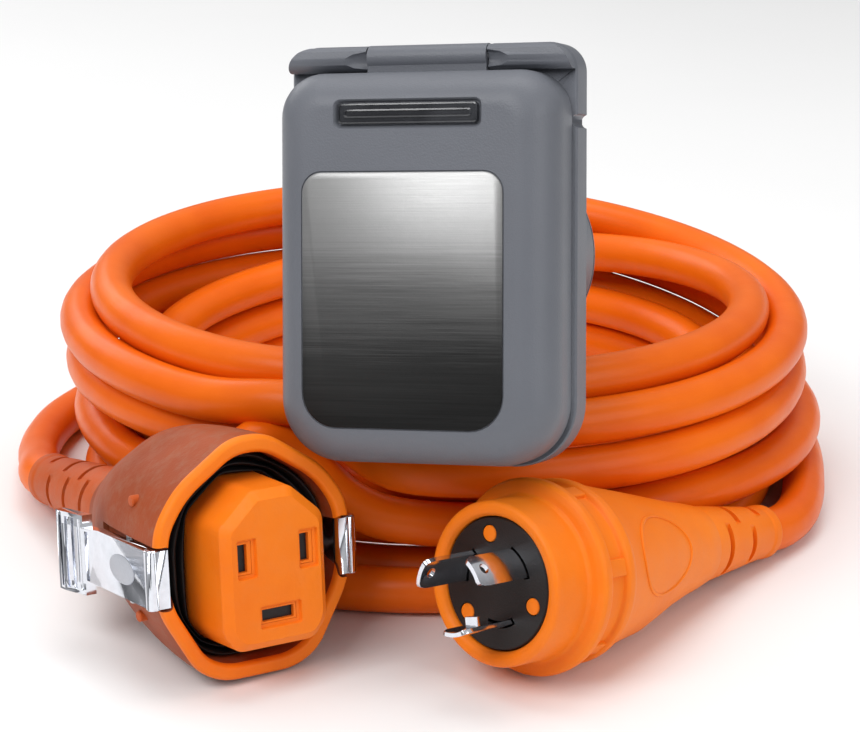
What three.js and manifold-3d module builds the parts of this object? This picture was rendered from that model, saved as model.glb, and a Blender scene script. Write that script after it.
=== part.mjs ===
// A 30 ampere shore power cord set: a coiled cable with a side latching connector at one end and a
// three blade locking plug at the other, and the wall inlet with a hinged cover that the connector fits.
// Millimetres, +Z up. The coil stands on the floor, the plug and the connector lie in front of it, and
// the inlet leans against the front of the coil with its rear housing hooked over the top turn.
import * as THREE from "three";
import { mergeVertices } from "three/addons/utils/BufferGeometryUtils.js";
import Module from "manifold-3d";

const wasm = await Module();
wasm.setup();

// ---------------------------------------------------------------- driving dimensions

const GAP = 0.3; // left between pieces that touch
const CABLE_RADIUS = 8.5;
const CABLE_SIDES = 12;

// Coil: outer shape of the stacked turns, centred on the origin.
const COIL_HEIGHT = 90;
const COIL_FOOT_RADIUS = 146;
const COIL_BELLY_RADIUS = 150;
const COIL_SHOULDER_RADIUS = 147;
const COIL_TOP_OUTER = 137;
const COIL_TOP_INNER = 125;
const COIL_HOLE_RADIUS = 110;
const NEST_CLEARANCE = 2; // room left in the coil's side for the connector and the plug

// Connector, measured back from the flat front face of its core, which lies at z = 0.
const CONNECTOR_FACE = new THREE.Vector3(-52.3, -203.9, 43.6);
const CONNECTOR_YAW = 32.8;
const CONNECTOR_TILT = 8.7;
const CONNECTOR_ROLL = -3.1;
const RIM_DEPTH = 15;
const CAVITY_DEPTH = 62;
const SHELL_DEPTH = 118;
const CONNECTOR_LENGTH = 188;
const SHELL_INNER_SCALE = 0.86; // the shell's cavity as a share of its outline
const WIPER_SCALE = 0.815; // the wiper seal's outline as a share of the rim's
const SEAL_WIDTH = 3;
const LATCH_HALF_HEIGHT = 10.8;
const LATCH_PAD_HALF_HEIGHT = 14.6;
const LATCH_PIN_X = 35.8;
const LATCH_PIN_DEPTH = 40;
const LATCH_PIN_RADIUS = 1.3;

// Plug, measured back from its front face, which lies at z = 0.
const PLUG_FACE = new THREE.Vector3(21.5, -203.3, 38.9);
const PLUG_YAW = -43.7;
const PLUG_TILT = 10.2;
const PLUG_SLEEVE_RADIUS = 29;
const PLUG_FLANGE_RADIUS = 35;
const PLUG_DISC_RADIUS = 23.3;
const PLUG_BODY_DEPTH = 112;
const PLUG_LENGTH = 158;
const BLADE_CIRCLE_RADIUS = 14.2;
const BLADE_THICKNESS = 1.6;
const BLADE_HALF_ANGLE = 23;
const BLADE_REACH = 22.5;
const PEG_CIRCLE_RADIUS = 17.5;

// Inlet, in its own frame: x right, y up, z out of the wall, with the flange's back at z = 0.
const INLET_CENTRE = new THREE.Vector3(4.9, -143.4, 138.6);
const INLET_LEAN = 16.45;
const INLET_YAW = -20;
const FLANGE_HALF_WIDTH = 52.5;
const FLANGE_TOP = 73.5;
const FLANGE_BOTTOM = -72.5;
const FLANGE_THICKNESS = 12;
const COVER_HALF_WIDTH = 50.9;
const COVER_TOP = 63.6;
const COVER_BOTTOM = -71.5;
const COVER_FRONT = 37;
const COVER_WALL = 3;
const HINGE_Y = 69;
const HINGE_Z = 14.5;
const HINGE_RADIUS = 4.4;
const HINGE_PIN_RADIUS = 1.5;
const BARREL_HALF_LENGTH = 21.8;
const SCREW_X = 40;
const SCREW_TOP_Y = 50;
const SCREW_BOTTOM_Y = -36;
const HOUSING_RADIUS = 39;
const HOUSING_DEPTH = 55;

// ---------------------------------------------------------------- materials

const finish = (color, roughness, metalness = 0) =>
  new THREE.MeshStandardMaterial({ color, roughness, metalness });

const orangeCable = () => finish(0xf0660f, 0.38);
const orangeRubber = () => finish(0xf4741a, 0.5);
const greyPlastic = () => finish(0x6b7079, 0.45);
const darkPlastic = () => finish(0x26282b, 0.5);
const blackRubber = () => finish(0x141518, 0.6);
const chrome = () => finish(0xd8dadf, 0.12, 1);
const steel = () => finish(0xb5b8bb, 0.3, 1);
const brass = () => finish(0xb8974f, 0.3, 1);
const clearPlastic = () => finish(0x2a2d33, 0.1);

// ---------------------------------------------------------------- solids and outlines

function toSolid(geometry) {
  const bare = geometry.clone();
  bare.deleteAttribute("normal");
  bare.deleteAttribute("uv");
  const merged = mergeVertices(bare, 1e-4);
  return new wasm.Manifold(
    new wasm.Mesh({
      numProp: 3,
      vertProperties: merged.attributes.position.array,
      triVerts: new Uint32Array(merged.index.array),
    }),
  );
}

function toGeometry(solid) {
  const mesh = solid.getMesh();
  const geometry = new THREE.BufferGeometry();
  geometry.setAttribute("position", new THREE.BufferAttribute(mesh.vertProperties, 3));
  geometry.setIndex(new THREE.BufferAttribute(mesh.triVerts, 1));
  const faceted = geometry.toNonIndexed();
  faceted.computeVertexNormals();
  return faceted;
}

function cut(geometry, ...tools) {
  return toGeometry(tools.reduce((rest, tool) => rest.subtract(toSolid(tool)), toSolid(geometry)));
}

function join(geometry, ...others) {
  return toGeometry(others.reduce((whole, other) => whole.add(toSolid(other)), toSolid(geometry)));
}

function common(geometry, other) {
  return toGeometry(toSolid(geometry).intersect(toSolid(other)));
}

// A box between two corners.
function box(x0, x1, y0, y1, z0, z1) {
  const geometry = new THREE.BoxGeometry(x1 - x0, y1 - y0, z1 - z0);
  return geometry.translate((x0 + x1) / 2, (y0 + y1) / 2, (z0 + z1) / 2);
}

// A cylinder along z, centred on (x, y).
function post(radius, x, y, z0, z1, sides = 20) {
  const geometry = new THREE.CylinderGeometry(radius, radius, z1 - z0, sides);
  return geometry.rotateX(Math.PI / 2).translate(x, y, (z0 + z1) / 2);
}

// A cylinder along x, centred on (y, z).
function bar(radius, y, z, x0, x1, sides = 20) {
  const geometry = new THREE.CylinderGeometry(radius, radius, x1 - x0, sides);
  return geometry.rotateZ(Math.PI / 2).translate((x0 + x1) / 2, y, z);
}

// A body turned about z from a profile of [radius, z] pairs, listed from low z to high z.
function turned(profile, sides = 32) {
  const points = profile.map(([radius, z]) => new THREE.Vector2(radius, z));
  return new THREE.LatheGeometry(points, sides).rotateX(Math.PI / 2).rotateZ(Math.PI / sides);
}

// The points of an outline through corners [x, y, reach], each rounded over its own reach.
function rounded(corners, segments = 4) {
  const shape = new THREE.Path();
  corners.forEach(([x, y, reach], index) => {
    const here = new THREE.Vector2(x, y);
    const before = new THREE.Vector2(...corners.at(index - 1));
    const after = new THREE.Vector2(...corners[(index + 1) % corners.length]);
    const start = here.clone().add(before.sub(here).setLength(reach));
    const end = here.clone().add(after.sub(here).setLength(reach));
    if (index) shape.lineTo(start.x, start.y);
    else shape.moveTo(start.x, start.y);
    shape.quadraticCurveTo(x, y, end.x, end.y);
  });
  return shape.getPoints(segments);
}

// The points of a rectangle with round corners, counterclockwise from the lower right.
function rectangle(x0, x1, y0, y1, lowerRadius, upperRadius = lowerRadius, segments = 5) {
  const corners = [
    [x1, y0, lowerRadius, -1, 1],
    [x1, y1, upperRadius, -1, -1],
    [x0, y1, upperRadius, 1, -1],
    [x0, y0, lowerRadius, 1, 1],
  ];
  return corners.flatMap(([x, y, radius, inX, inY], corner) =>
    Array.from({ length: segments + 1 }, (_, index) => {
      const angle = ((corner - 1 + index / segments) * Math.PI) / 2;
      return new THREE.Vector2(
        x + radius * (inX + Math.cos(angle)),
        y + radius * (inY + Math.sin(angle)),
      );
    }),
  );
}

const scaled = (outline, factor) => outline.map((point) => point.clone().multiplyScalar(factor));

function prism(outline, z0, z1, steps = 1) {
  const options = { depth: z1 - z0, steps, bevelEnabled: false };
  return new THREE.ExtrudeGeometry(new THREE.Shape(outline), options).translate(0, 0, z0);
}

// A solid through outlines with the same number of points, given as [z, outline] from low z to high z.
function loft(levels) {
  const count = levels[0][1].length;
  const positions = levels.flatMap(([z, outline]) => outline.flatMap((point) => [point.x, point.y, z]));
  const indices = [];
  for (let level = 1; level < levels.length; level += 1) {
    for (let index = 0; index < count; index += 1) {
      const next = (index + 1) % count;
      const [low, high] = [(level - 1) * count, level * count];
      indices.push(low + index, low + next, high + next, low + index, high + next, high + index);
    }
  }
  const caps = THREE.ShapeUtils.triangulateShape(levels[0][1], []);
  const last = (levels.length - 1) * count;
  caps.forEach(([a, b, c]) => indices.push(c, b, a, last + a, last + b, last + c));
  const geometry = new THREE.BufferGeometry();
  geometry.setAttribute("position", new THREE.Float32BufferAttribute(positions, 3));
  geometry.setIndex(indices);
  return geometry;
}

// A loft whose front edge is rounded: outlineAt(inset) gives its outline, and the edge takes up
// `inset` across and `rise` along z.
function crowned(outlineAt, z0, z1, inset, rise, segments = 4) {
  const levels = [[z0, outlineAt(0)]];
  for (let index = 0; index <= segments; index += 1) {
    const angle = ((index / segments) * Math.PI) / 2;
    levels.push([z1 - rise * (1 - Math.sin(angle)), outlineAt(inset * (1 - Math.cos(angle)))]);
  }
  return loft(levels);
}

// Narrows a body made along z: each section at depth -z takes the width, height and lift of shapeAt(depth).
function tapered(geometry, shapeAt) {
  const position = geometry.attributes.position;
  for (let index = 0; index < position.count; index += 1) {
    const [width, height, lift] = shapeAt(-position.getZ(index));
    position.setX(index, position.getX(index) * width);
    position.setY(index, position.getY(index) * height + lift);
  }
  return geometry;
}

function ring(outer, inner, z0, z1) {
  return cut(prism(outer, z0, z1), prism(inner, z0 - 1, z1 + 1));
}

function piece(parent, name, geometry, material) {
  const mesh = new THREE.Mesh(geometry, material);
  mesh.name = name;
  parent.add(mesh);
  return mesh;
}

// A group whose +z points forward at the viewer's side of the scene, turned by yaw and tipped up by tilt.
function facing(place, yaw, tilt, roll = 0) {
  const group = new THREE.Group();
  const tipped = new THREE.Group();
  const rolled = new THREE.Group();
  group.position.copy(place);
  group.rotation.z = THREE.MathUtils.degToRad(yaw);
  tipped.rotation.x = THREE.MathUtils.degToRad(90 - tilt);
  rolled.rotation.z = THREE.MathUtils.degToRad(roll);
  group.add(tipped);
  tipped.add(rolled);
  return { group, inner: rolled };
}

// ---------------------------------------------------------------- connector

// Half of an outline, from top to bottom on the right, mirrored to the left.
function mirrored(half) {
  const left = half.filter(([x]) => x > 0).map(([x, y, radius]) => [-x, y, radius]);
  return rounded([...half].reverse().concat(left), 2);
}

const rimOutline = mirrored([
  [7, 45.5, 6],
  [29, 31, 7],
  [38.5, 17, 7],
  [38.5, -11, 8],
  [24, -36, 5.4],
  [14, -41, 5.2],
]);

const coreHalf = (grow) => [
  [7.5 + 0.4 * grow, 28.6 + grow, 2],
  [20 + grow, 17.2 + 0.5 * grow, 3],
  [20 + grow, -20 - 0.4 * grow, 3],
  [15 + 0.5 * grow, -26.6 - grow, 3],
];

const coreOutline = (grow) => mirrored(coreHalf(grow));

// The shell behind the rim: width and height as shares of the rim's, and how far its middle is lifted.
const SHELL_STATIONS = [
  [0, 1, 1, 0],
  [22, 0.99, 0.99, 0],
  [45, 0.96, 0.94, 1],
  [60, 0.92, 0.88, 2],
  [80, 0.81, 0.77, 2.5],
  [100, 0.66, 0.62, 1.5],
  [112, 0.52, 0.5, 0.5],
  [130, 0.44, 0.43, 0],
];

function shellShape(depth) {
  const next = SHELL_STATIONS.findIndex(([station]) => station >= depth);
  if (next < 1) return SHELL_STATIONS.at(next).slice(1);
  const [before, after] = SHELL_STATIONS.slice(next - 1, next + 1);
  const part = (depth - before[0]) / (after[0] - before[0]);
  return [1, 2, 3].map((column) => THREE.MathUtils.lerp(before[column], after[column], part));
}

function shellBlank(scale, frontDepth, backDepth, steps) {
  return tapered(prism(scaled(rimOutline, scale), -backDepth, -frontDepth, steps), shellShape);
}

const reliefProfile = (start, end, startRadius, endRadius) => [
  [0, -end],
  [endRadius, -end],
  [endRadius + 0.9, -end + 4],
  [startRadius, -start],
  [0, -start],
];

// Staggered slots that let a strain relief bend.
function slotted(relief, start, pitch, rows, radius) {
  const slots = [];
  for (let row = 0; row < rows; row += 1) {
    for (const side of [-1, 1]) {
      const slot = box(radius - 3.2, radius + 8, -radius, radius, -1.6, 1.6);
      slot.rotateZ((side * Math.PI) / 2 + (row % 2) * (Math.PI / 2));
      slots.push(slot.translate(0, 0, -(start + row * pitch)));
    }
  }
  return cut(relief, ...slots);
}

// A plate cut from an outline in the x, z plane, centred on y = 0.
function flatOn(shape, halfHeight) {
  const options = { depth: 2 * halfHeight, bevelEnabled: false, curveSegments: 4 };
  return new THREE.ExtrudeGeometry(shape, options).rotateX(Math.PI / 2).translate(0, halfHeight, 0);
}

// The latch on the right: a lever with a hook at the rim, a pivot boss and a flared thumb pad.
function latchGeometry() {
  const lever = new THREE.Shape();
  lever.moveTo(33.4, -RIM_DEPTH);
  lever.lineTo(33.4, -19.5);
  lever.lineTo(36.8, -24);
  lever.lineTo(37.4, -57);
  lever.lineTo(42.4, -80);
  lever.lineTo(45.6, -80);
  lever.lineTo(45.4, -76);
  lever.lineTo(40.9, -56);
  lever.lineTo(40.6, -RIM_DEPTH - 1.5);
  lever.quadraticCurveTo(40.6, -RIM_DEPTH, 39.4, -RIM_DEPTH);
  lever.closePath();
  const pad = new THREE.Shape();
  pad.moveTo(38.9, -64);
  pad.lineTo(42.4, -80);
  pad.lineTo(45.6, -80);
  pad.lineTo(45.4, -76);
  pad.lineTo(42.6, -64);
  pad.closePath();
  const boss = new THREE.CylinderGeometry(3, 3, 2 * LATCH_HALF_HEIGHT, 16);
  boss.translate(LATCH_PIN_X + 0.4, 0, -LATCH_PIN_DEPTH);
  const bore = new THREE.CylinderGeometry(LATCH_PIN_RADIUS + GAP, LATCH_PIN_RADIUS + GAP, 60, 12);
  bore.translate(LATCH_PIN_X, 0, -LATCH_PIN_DEPTH);
  const body = join(flatOn(lever, LATCH_HALF_HEIGHT), flatOn(pad, LATCH_PAD_HALF_HEIGHT), boss);
  return cut(body, bore);
}

function buildConnector(parent) {
  const latchChannels = [-1, 1].map((side) => {
    const [near, far] = side > 0 ? [32.6, 60] : [-60, -32.6];
    return box(near, far, -LATCH_HALF_HEIGHT - GAP, LATCH_HALF_HEIGHT + GAP, -64, -5);
  });
  const pinHoles = [-1, 1].map((side) =>
    new THREE.CylinderGeometry(LATCH_PIN_RADIUS + GAP, LATCH_PIN_RADIUS + GAP, 32, 12).translate(
      side * LATCH_PIN_X,
      0,
      -LATCH_PIN_DEPTH,
    ),
  );
  const shell = cut(
    shellBlank(1, RIM_DEPTH, SHELL_DEPTH, 8),
    shellBlank(SHELL_INNER_SCALE, RIM_DEPTH - 2, CAVITY_DEPTH, 4),
    post(12.3, 0, 0, -SHELL_DEPTH - 5, -CAVITY_DEPTH + 2, 24),
    ...latchChannels,
    ...pinHoles,
  );
  piece(parent, "connector_shell", shell, orangeRubber());

  const core = crowned((inset) => coreOutline(-inset), -CAVITY_DEPTH + GAP, 0, 2.6, 3, 2);
  const slots = [
    box(-14.9, -9.1, 0.4, 12.2, -34, 2),
    box(9.1, 14.9, 0.6, 12.4, -34, 2),
    box(-7, 7.4, -18, -12.2, -34, 2),
  ];
  const recesses = [
    box(-14.9, -7.9, -0.6, 12.8, -1.4, 2),
    box(9.1, 16.1, -0.4, 13, -1.4, 2),
    box(-7, 8.6, -19.2, -11.6, -1.4, 2),
  ];
  piece(parent, "connector_core", cut(core, ...slots, ...recesses), orangeRubber());

  const contacts = [
    ["hot", box(-14.6, -9.4, 0.7, 11.9, -33.7, -9), box(-12.9, -11.1, 1.7, 10.9, -32, 0)],
    ["neutral", box(9.4, 14.6, 0.9, 12.1, -33.7, -9), box(11.1, 12.9, 1.9, 11.1, -32, 0)],
    ["earth", box(-6.7, 7.1, -17.7, -12.5, -33.7, -9), box(-5.7, 6.1, -16, -14.2, -32, 0)],
  ];
  contacts.forEach(([pole, block, slot]) => {
    piece(parent, `connector_contact_${pole}`, cut(block, slot), brass());
  });

  // Two rubber seals close the space between the core and the shell.
  const wiper = ring(scaled(rimOutline, WIPER_SCALE), coreOutline(SEAL_WIDTH), -34, -24);
  piece(parent, "connector_wiper_seal", wiper, blackRubber());
  const lip = ring(coreOutline(SEAL_WIDTH - GAP), coreOutline(GAP), -36, -27);
  piece(parent, "connector_core_seal", lip, blackRubber());

  for (const [side, word] of [[1, "right"], [-1, "left"]]) {
    const latch = latchGeometry();
    if (side < 0) latch.rotateZ(Math.PI);
    piece(parent, `connector_latch_${word}`, latch, chrome());

    const pin = new THREE.CylinderGeometry(LATCH_PIN_RADIUS, LATCH_PIN_RADIUS, 31.4, 12);
    pin.translate(side * LATCH_PIN_X, 0, -LATCH_PIN_DEPTH);
    piece(parent, `connector_latch_pin_${word}`, pin, steel());

    const spring = turned([[1.6, 0], [3, 0], [3, 4.6], [1.6, 4.6], [1.6, 0]], 12);
    spring.rotateY((side * Math.PI) / 2).translate(side * 34.4, 0, -71);
    piece(parent, `connector_latch_spring_${word}`, spring, steel());
  }

  const relief = join(
    turned(reliefProfile(SHELL_DEPTH + GAP, CONNECTOR_LENGTH, 15.4, 9.9), 24),
    post(12, 0, 0, -SHELL_DEPTH - 2, -CAVITY_DEPTH - 4, 24),
  );
  const slottedRelief = slotted(relief, SHELL_DEPTH + 12, 9, 6, 13);
  piece(parent, "connector_strain_relief", slottedRelief, orangeRubber());
}

// ---------------------------------------------------------------- plug

const plugBodyProfile = [
  [0, -PLUG_BODY_DEPTH],
  [15.6, -PLUG_BODY_DEPTH],
  [18.5, -96],
  [23.6, -74],
  [28.6, -52],
  [31.8, -39.5],
  [33.1, -37],
  [33.1, -33.6],
  [32.2, -33],
  [32.2, -24],
  [PLUG_FLANGE_RADIUS - 0.4, -23.4],
  [PLUG_FLANGE_RADIUS, -19.4],
  [PLUG_SLEEVE_RADIUS + 3, -18],
  [PLUG_SLEEVE_RADIUS, -17],
  [PLUG_SLEEVE_RADIUS, -1],
  [PLUG_SLEEVE_RADIUS - 1, 0],
  [25, 0],
  [PLUG_DISC_RADIUS + GAP, -1.8],
  [PLUG_DISC_RADIUS + GAP, -12],
  [0, -12],
];

function bladeGeometry(centreAngle, reach, hasHole, hasLip) {
  const inner = BLADE_CIRCLE_RADIUS - BLADE_THICKNESS / 2;
  const outer = BLADE_CIRCLE_RADIUS + BLADE_THICKNESS / 2;
  const half = THREE.MathUtils.degToRad(BLADE_HALF_ANGLE);
  const arc = new THREE.Shape();
  arc.absarc(0, 0, outer, -half, half, false);
  arc.absarc(0, 0, inner, half, -half, true);
  arc.closePath();
  const options = { depth: reach + 28, bevelEnabled: false, curveSegments: 6 };
  let blade = new THREE.ExtrudeGeometry(arc, options).translate(0, 0, -28);
  if (hasLip) blade = join(blade, box(inner - 4.4, inner + 0.6, -0.4, 5, reach - 9, reach - 7.6));
  if (hasHole) blade = cut(blade, bar(1.5, 0, reach - 4.5, 5, 25, 12));
  return blade.rotateZ(THREE.MathUtils.degToRad(centreAngle));
}

function buildPlug(parent) {
  piece(parent, "plug_body", turned(plugBodyProfile, 40), orangeRubber());

  const poles = [
    ["neutral", 168, true, false],
    ["hot", 48, true, false],
    ["earth", -72, false, true],
  ];
  const pegAngles = [110, 230, 350];
  const spread = GAP / BLADE_CIRCLE_RADIUS;
  const bladeSlots = poles.map(([, angle]) => {
    const inner = BLADE_CIRCLE_RADIUS - BLADE_THICKNESS / 2 - GAP;
    const outer = BLADE_CIRCLE_RADIUS + BLADE_THICKNESS / 2 + GAP;
    const half = THREE.MathUtils.degToRad(BLADE_HALF_ANGLE) + spread;
    const slot = new THREE.Shape();
    slot.absarc(0, 0, outer, -half, half, false);
    slot.absarc(0, 0, inner, half, -half, true);
    slot.closePath();
    const options = { depth: 40, bevelEnabled: false, curveSegments: 6 };
    const geometry = new THREE.ExtrudeGeometry(slot, options).translate(0, 0, -35);
    return geometry.rotateZ(THREE.MathUtils.degToRad(angle));
  });
  const pegPlace = (angle) => {
    const turn = THREE.MathUtils.degToRad(angle);
    return [PEG_CIRCLE_RADIUS * Math.cos(turn), PEG_CIRCLE_RADIUS * Math.sin(turn)];
  };
  const pegHoles = pegAngles.map((angle) => post(2.9 + GAP, ...pegPlace(angle), -20, 5, 14));
  const disc = turned([[0, -11.7], [PLUG_DISC_RADIUS, -11.7], [PLUG_DISC_RADIUS, -2], [0, -2]], 40);
  piece(parent, "plug_face_disc", cut(disc, ...bladeSlots, ...pegHoles), darkPlastic());

  poles.forEach(([pole, angle, hasHole, hasLip]) => {
    const blade = bladeGeometry(angle, BLADE_REACH, hasHole, hasLip);
    const short = common(blade, box(-30, 30, -30, 30, -11.5, 30));
    piece(parent, `plug_blade_${pole}`, short, steel());
  });
  pegAngles.forEach((angle, index) => {
    piece(parent, `plug_peg_${index + 1}`, post(2.9, ...pegPlace(angle), -11.6, -1.6, 14), orangeRubber());
  });

  const relief = turned(reliefProfile(PLUG_BODY_DEPTH + GAP, PLUG_LENGTH, 15, 9.8), 24);
  piece(parent, "plug_strain_relief", slotted(relief, PLUG_BODY_DEPTH + 8, 8.5, 4, 12.6), orangeRubber());
}

// ---------------------------------------------------------------- inlet

function buildInletFlange(parent) {
  const outline = rectangle(-FLANGE_HALF_WIDTH, FLANGE_HALF_WIDTH, FLANGE_BOTTOM, FLANGE_TOP, 22, 10);
  const plate = prism(outline, 0, FLANGE_THICKNESS);
  const ears = [-1, 1].flatMap((side) => {
    const [near, far] = side > 0 ? [BARREL_HALF_LENGTH + 0.4, 46] : [-46, -BARREL_HALF_LENGTH - 0.4];
    return [
      box(near, far, HINGE_Y - HINGE_RADIUS, HINGE_Y + HINGE_RADIUS, 4, HINGE_Z),
      bar(HINGE_RADIUS, HINGE_Y, HINGE_Z, near, far),
    ];
  });
  const barrelRoom = HINGE_RADIUS + 0.6;
  const half = BARREL_HALF_LENGTH + 0.4;
  const screwHoles = screwPlaces.flatMap(([x, y]) => [
    post(2.5, x, y, -5, 20, 14),
    post(4.5, x, y, 8, 20, 16),
  ]);
  const flange = cut(
    join(plate, ...ears),
    bar(barrelRoom, HINGE_Y, HINGE_Z, -half, half, 24),
    box(-half, half, HINGE_Y, FLANGE_TOP + 5, HINGE_Z - barrelRoom, 40),
    bar(HINGE_PIN_RADIUS + GAP, HINGE_Y, HINGE_Z, -45, 60, 12),
    prism(coreOutline(4), -5, 20),
    ...screwHoles,
    post(2.4, FLANGE_HALF_WIDTH + 0.4, 46.5, -5, 30, 16),
  );
  piece(parent, "inlet_flange", flange, greyPlastic());
}

const screwPlaces = [-1, 1].flatMap((side) => [
  [side * SCREW_X, SCREW_TOP_Y],
  [side * SCREW_X, SCREW_BOTTOM_Y],
]);

function buildInletSocket(parent) {
  // The shroud enters the space between the connector's core and its shell.
  const shroud = ring(coreOutline(4 - GAP), coreOutline(1.2), -14, 28);
  piece(parent, "inlet_shroud", shroud, darkPlastic());

  const blades = [
    ["hot", 11.1, 12.9, 2, 11],
    ["neutral", -12.9, -11.1, 1.8, 10.8],
    ["earth", -5.9, 5.9, -16, -14.2],
  ];
  const bladeSlots = blades.map(([, x0, x1, y0, y1]) =>
    box(x0 - GAP, x1 + GAP, y0 - GAP, y1 + GAP, -40, 10),
  );
  const carrier = cut(prism(coreOutline(1.2 - GAP), -27, -2), ...bladeSlots);
  piece(parent, "inlet_blade_carrier", carrier, darkPlastic());
  blades.forEach(([pole, x0, x1, y0, y1], index) => {
    piece(parent, `inlet_blade_${pole}`, box(x0, x1, y0, y1, -35, 18), brass());
    const screwX = (x0 + x1) / 2 + [-6.2, 6.2, 0][index];
    const screwY = (y0 + y1) / 2 + [0, 0, 6.2][index];
    piece(parent, `inlet_terminal_screw_${pole}`, post(3, screwX, screwY, -30.5, -27.3, 12), steel());
  });
}

function buildInletRear(parent) {
  const sheet = rectangle(-50, 50, -70, 71, 20, 12);
  const holes = screwPlaces.map(([x, y]) => post(2.8, x, y, -6, 2, 12));
  const gasket = cut(prism(sheet, -2.3, -GAP), post(HOUSING_RADIUS + 0.6, 0, 0, -6, 2, 40), ...holes);
  piece(parent, "inlet_wall_gasket", gasket, blackRubber());

  const inner = HOUSING_RADIUS - 2.6;
  const housing = turned(
    [
      [inner, -HOUSING_DEPTH],
      [HOUSING_RADIUS, -HOUSING_DEPTH],
      [HOUSING_RADIUS, -GAP],
      [inner, -GAP],
      [inner, -HOUSING_DEPTH],
    ],
    40,
  );
  piece(parent, "inlet_rear_housing", housing, darkPlastic());
  const cap = turned(
    [
      [10.4, -HOUSING_DEPTH - 3.3],
      [HOUSING_RADIUS - 1.5, -HOUSING_DEPTH - 3.3],
      [HOUSING_RADIUS, -HOUSING_DEPTH - 2],
      [HOUSING_RADIUS, -HOUSING_DEPTH - GAP],
      [10.4, -HOUSING_DEPTH - GAP],
      [10.4, -HOUSING_DEPTH - 3.3],
    ],
    40,
  );
  piece(parent, "inlet_rear_cap", cap, darkPlastic());
  const grommet = turned(
    [
      [6.5, -HOUSING_DEPTH - 5.5],
      [9, -HOUSING_DEPTH - 5.5],
      [10.1, -HOUSING_DEPTH - 4.4],
      [10.1, -HOUSING_DEPTH + 1.5],
      [6.5, -HOUSING_DEPTH + 1.5],
      [6.5, -HOUSING_DEPTH - 5.5],
    ],
    24,
  );
  piece(parent, "inlet_cable_grommet", grommet, blackRubber());

  screwPlaces.forEach(([x, y], index) => {
    const screw = turned([[0, -16], [1.4, -16], [2.2, -14.5], [2.2, 8.3], [4.1, 8.3], [4.1, 10.6], [0, 11]], 14);
    const drive = box(-3, 3, -0.5, 0.5, 10, 15);
    const cross = box(-0.5, 0.5, -3, 3, 10, 15);
    const geometry = cut(screw, drive, cross).translate(x, y, 0);
    piece(parent, `inlet_mounting_screw_${index + 1}`, geometry, steel());
  });
}

function buildCover(parent) {
  const outlineAt = (inset) =>
    rectangle(
      -COVER_HALF_WIDTH + inset,
      COVER_HALF_WIDTH - inset,
      COVER_BOTTOM + inset,
      COVER_TOP - inset,
      22 - 0.6 * inset,
      15 - 0.6 * inset,
    );
  const back = FLANGE_THICKNESS + GAP;
  const labelOutline = rectangle(-38.6, 34.1, -58.6, 29, 12, 7);
  const labelPocket = rectangle(-38.9, 34.4, -58.9, 29.3, 12.3, 7.3);
  const web = box(-BARREL_HALF_LENGTH, BARREL_HALF_LENGTH, COVER_TOP - 4, HINGE_Y, back + 0.4, HINGE_Z + 3.4);
  const cover = cut(
    join(
      crowned(outlineAt, back, COVER_FRONT, 13, 15, 5),
      web,
      bar(HINGE_RADIUS, HINGE_Y, HINGE_Z, -BARREL_HALF_LENGTH, BARREL_HALF_LENGTH),
    ),
    crowned((inset) => outlineAt(COVER_WALL + inset), back - 4, COVER_FRONT - COVER_WALL, 12, 13, 4),
    bar(HINGE_PIN_RADIUS + GAP, HINGE_Y, HINGE_Z, -30, 30, 12),
    prism(labelPocket, COVER_FRONT - 0.6, COVER_FRONT + 5),
    prism(rectangle(-26.8, 26.2, 44, 53.8, 2.2), COVER_FRONT - 1.6, COVER_FRONT + 5),
    prism(rectangle(-24, 23.4, 46.2, 51.6, 1.2), COVER_FRONT - 9, COVER_FRONT + 5),
  );
  piece(parent, "cover_shell", cover, greyPlastic());
  piece(parent, "cover_label_plate", prism(labelOutline, COVER_FRONT - 0.3, COVER_FRONT + 0.4), steel());

  const lens = join(
    prism(rectangle(-26.5, 25.9, 44.3, 53.5, 2), COVER_FRONT - 1.3, COVER_FRONT - 0.2),
    prism(rectangle(-23.7, 23.1, 46.5, 51.3, 1), COVER_FRONT - 4.5, COVER_FRONT - 1),
  );
  piece(parent, "cover_window_lens", lens, clearPlastic());

  const seal = ring(outlineAt(COVER_WALL + 0.5), outlineAt(COVER_WALL + 3.4), back, back + 4);
  piece(parent, "cover_seal", seal, blackRubber());
}

function buildHinge(parent) {
  const pin = bar(HINGE_PIN_RADIUS, HINGE_Y, HINGE_Z, -44.7, 45.6, 12);
  piece(parent, "inlet_hinge_pin", pin, steel());
}

// ---------------------------------------------------------------- cable

// The two leads, from each strain relief to the place where they join the coil's lowest turn.
const connectorLeadTurns = [
  [-161.2, -21, 11.6],
  [-164, -6, 9.7],
  [-164.8, 9, 8.8],
  [-163.6, 24, 8.6],
  [-160.6, 39, 8.6],
];
const plugLeadTurns = [
  [141.4, -75.4, 8.9],
  [147, -62, 8.6],
  [150.6, -47, 8.6],
  [153, -31, 8.6],
  [154.8, -14, 8.6],
  [155.7, 3, 8.6],
];

// A lead leaves its relief along the relief's axis, then follows its turns.
function lead(end, direction, turns) {
  const start = end.clone().addScaledVector(direction, GAP + 0.1);
  const straight = end.clone().addScaledVector(direction, 9);
  const points = [start, straight, ...turns.map((turn) => new THREE.Vector3(...turn))];
  const section = new THREE.Shape();
  section.absarc(0, 0, CABLE_RADIUS, 0, 2 * Math.PI, false);
  const outline = new THREE.Shape(section.getSpacedPoints(CABLE_SIDES).slice(0, -1));
  const extrudePath = new THREE.CatmullRomCurve3(points, false, "centripetal");
  return new THREE.ExtrudeGeometry(outline, { steps: 5, bevelEnabled: false, extrudePath });
}

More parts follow.
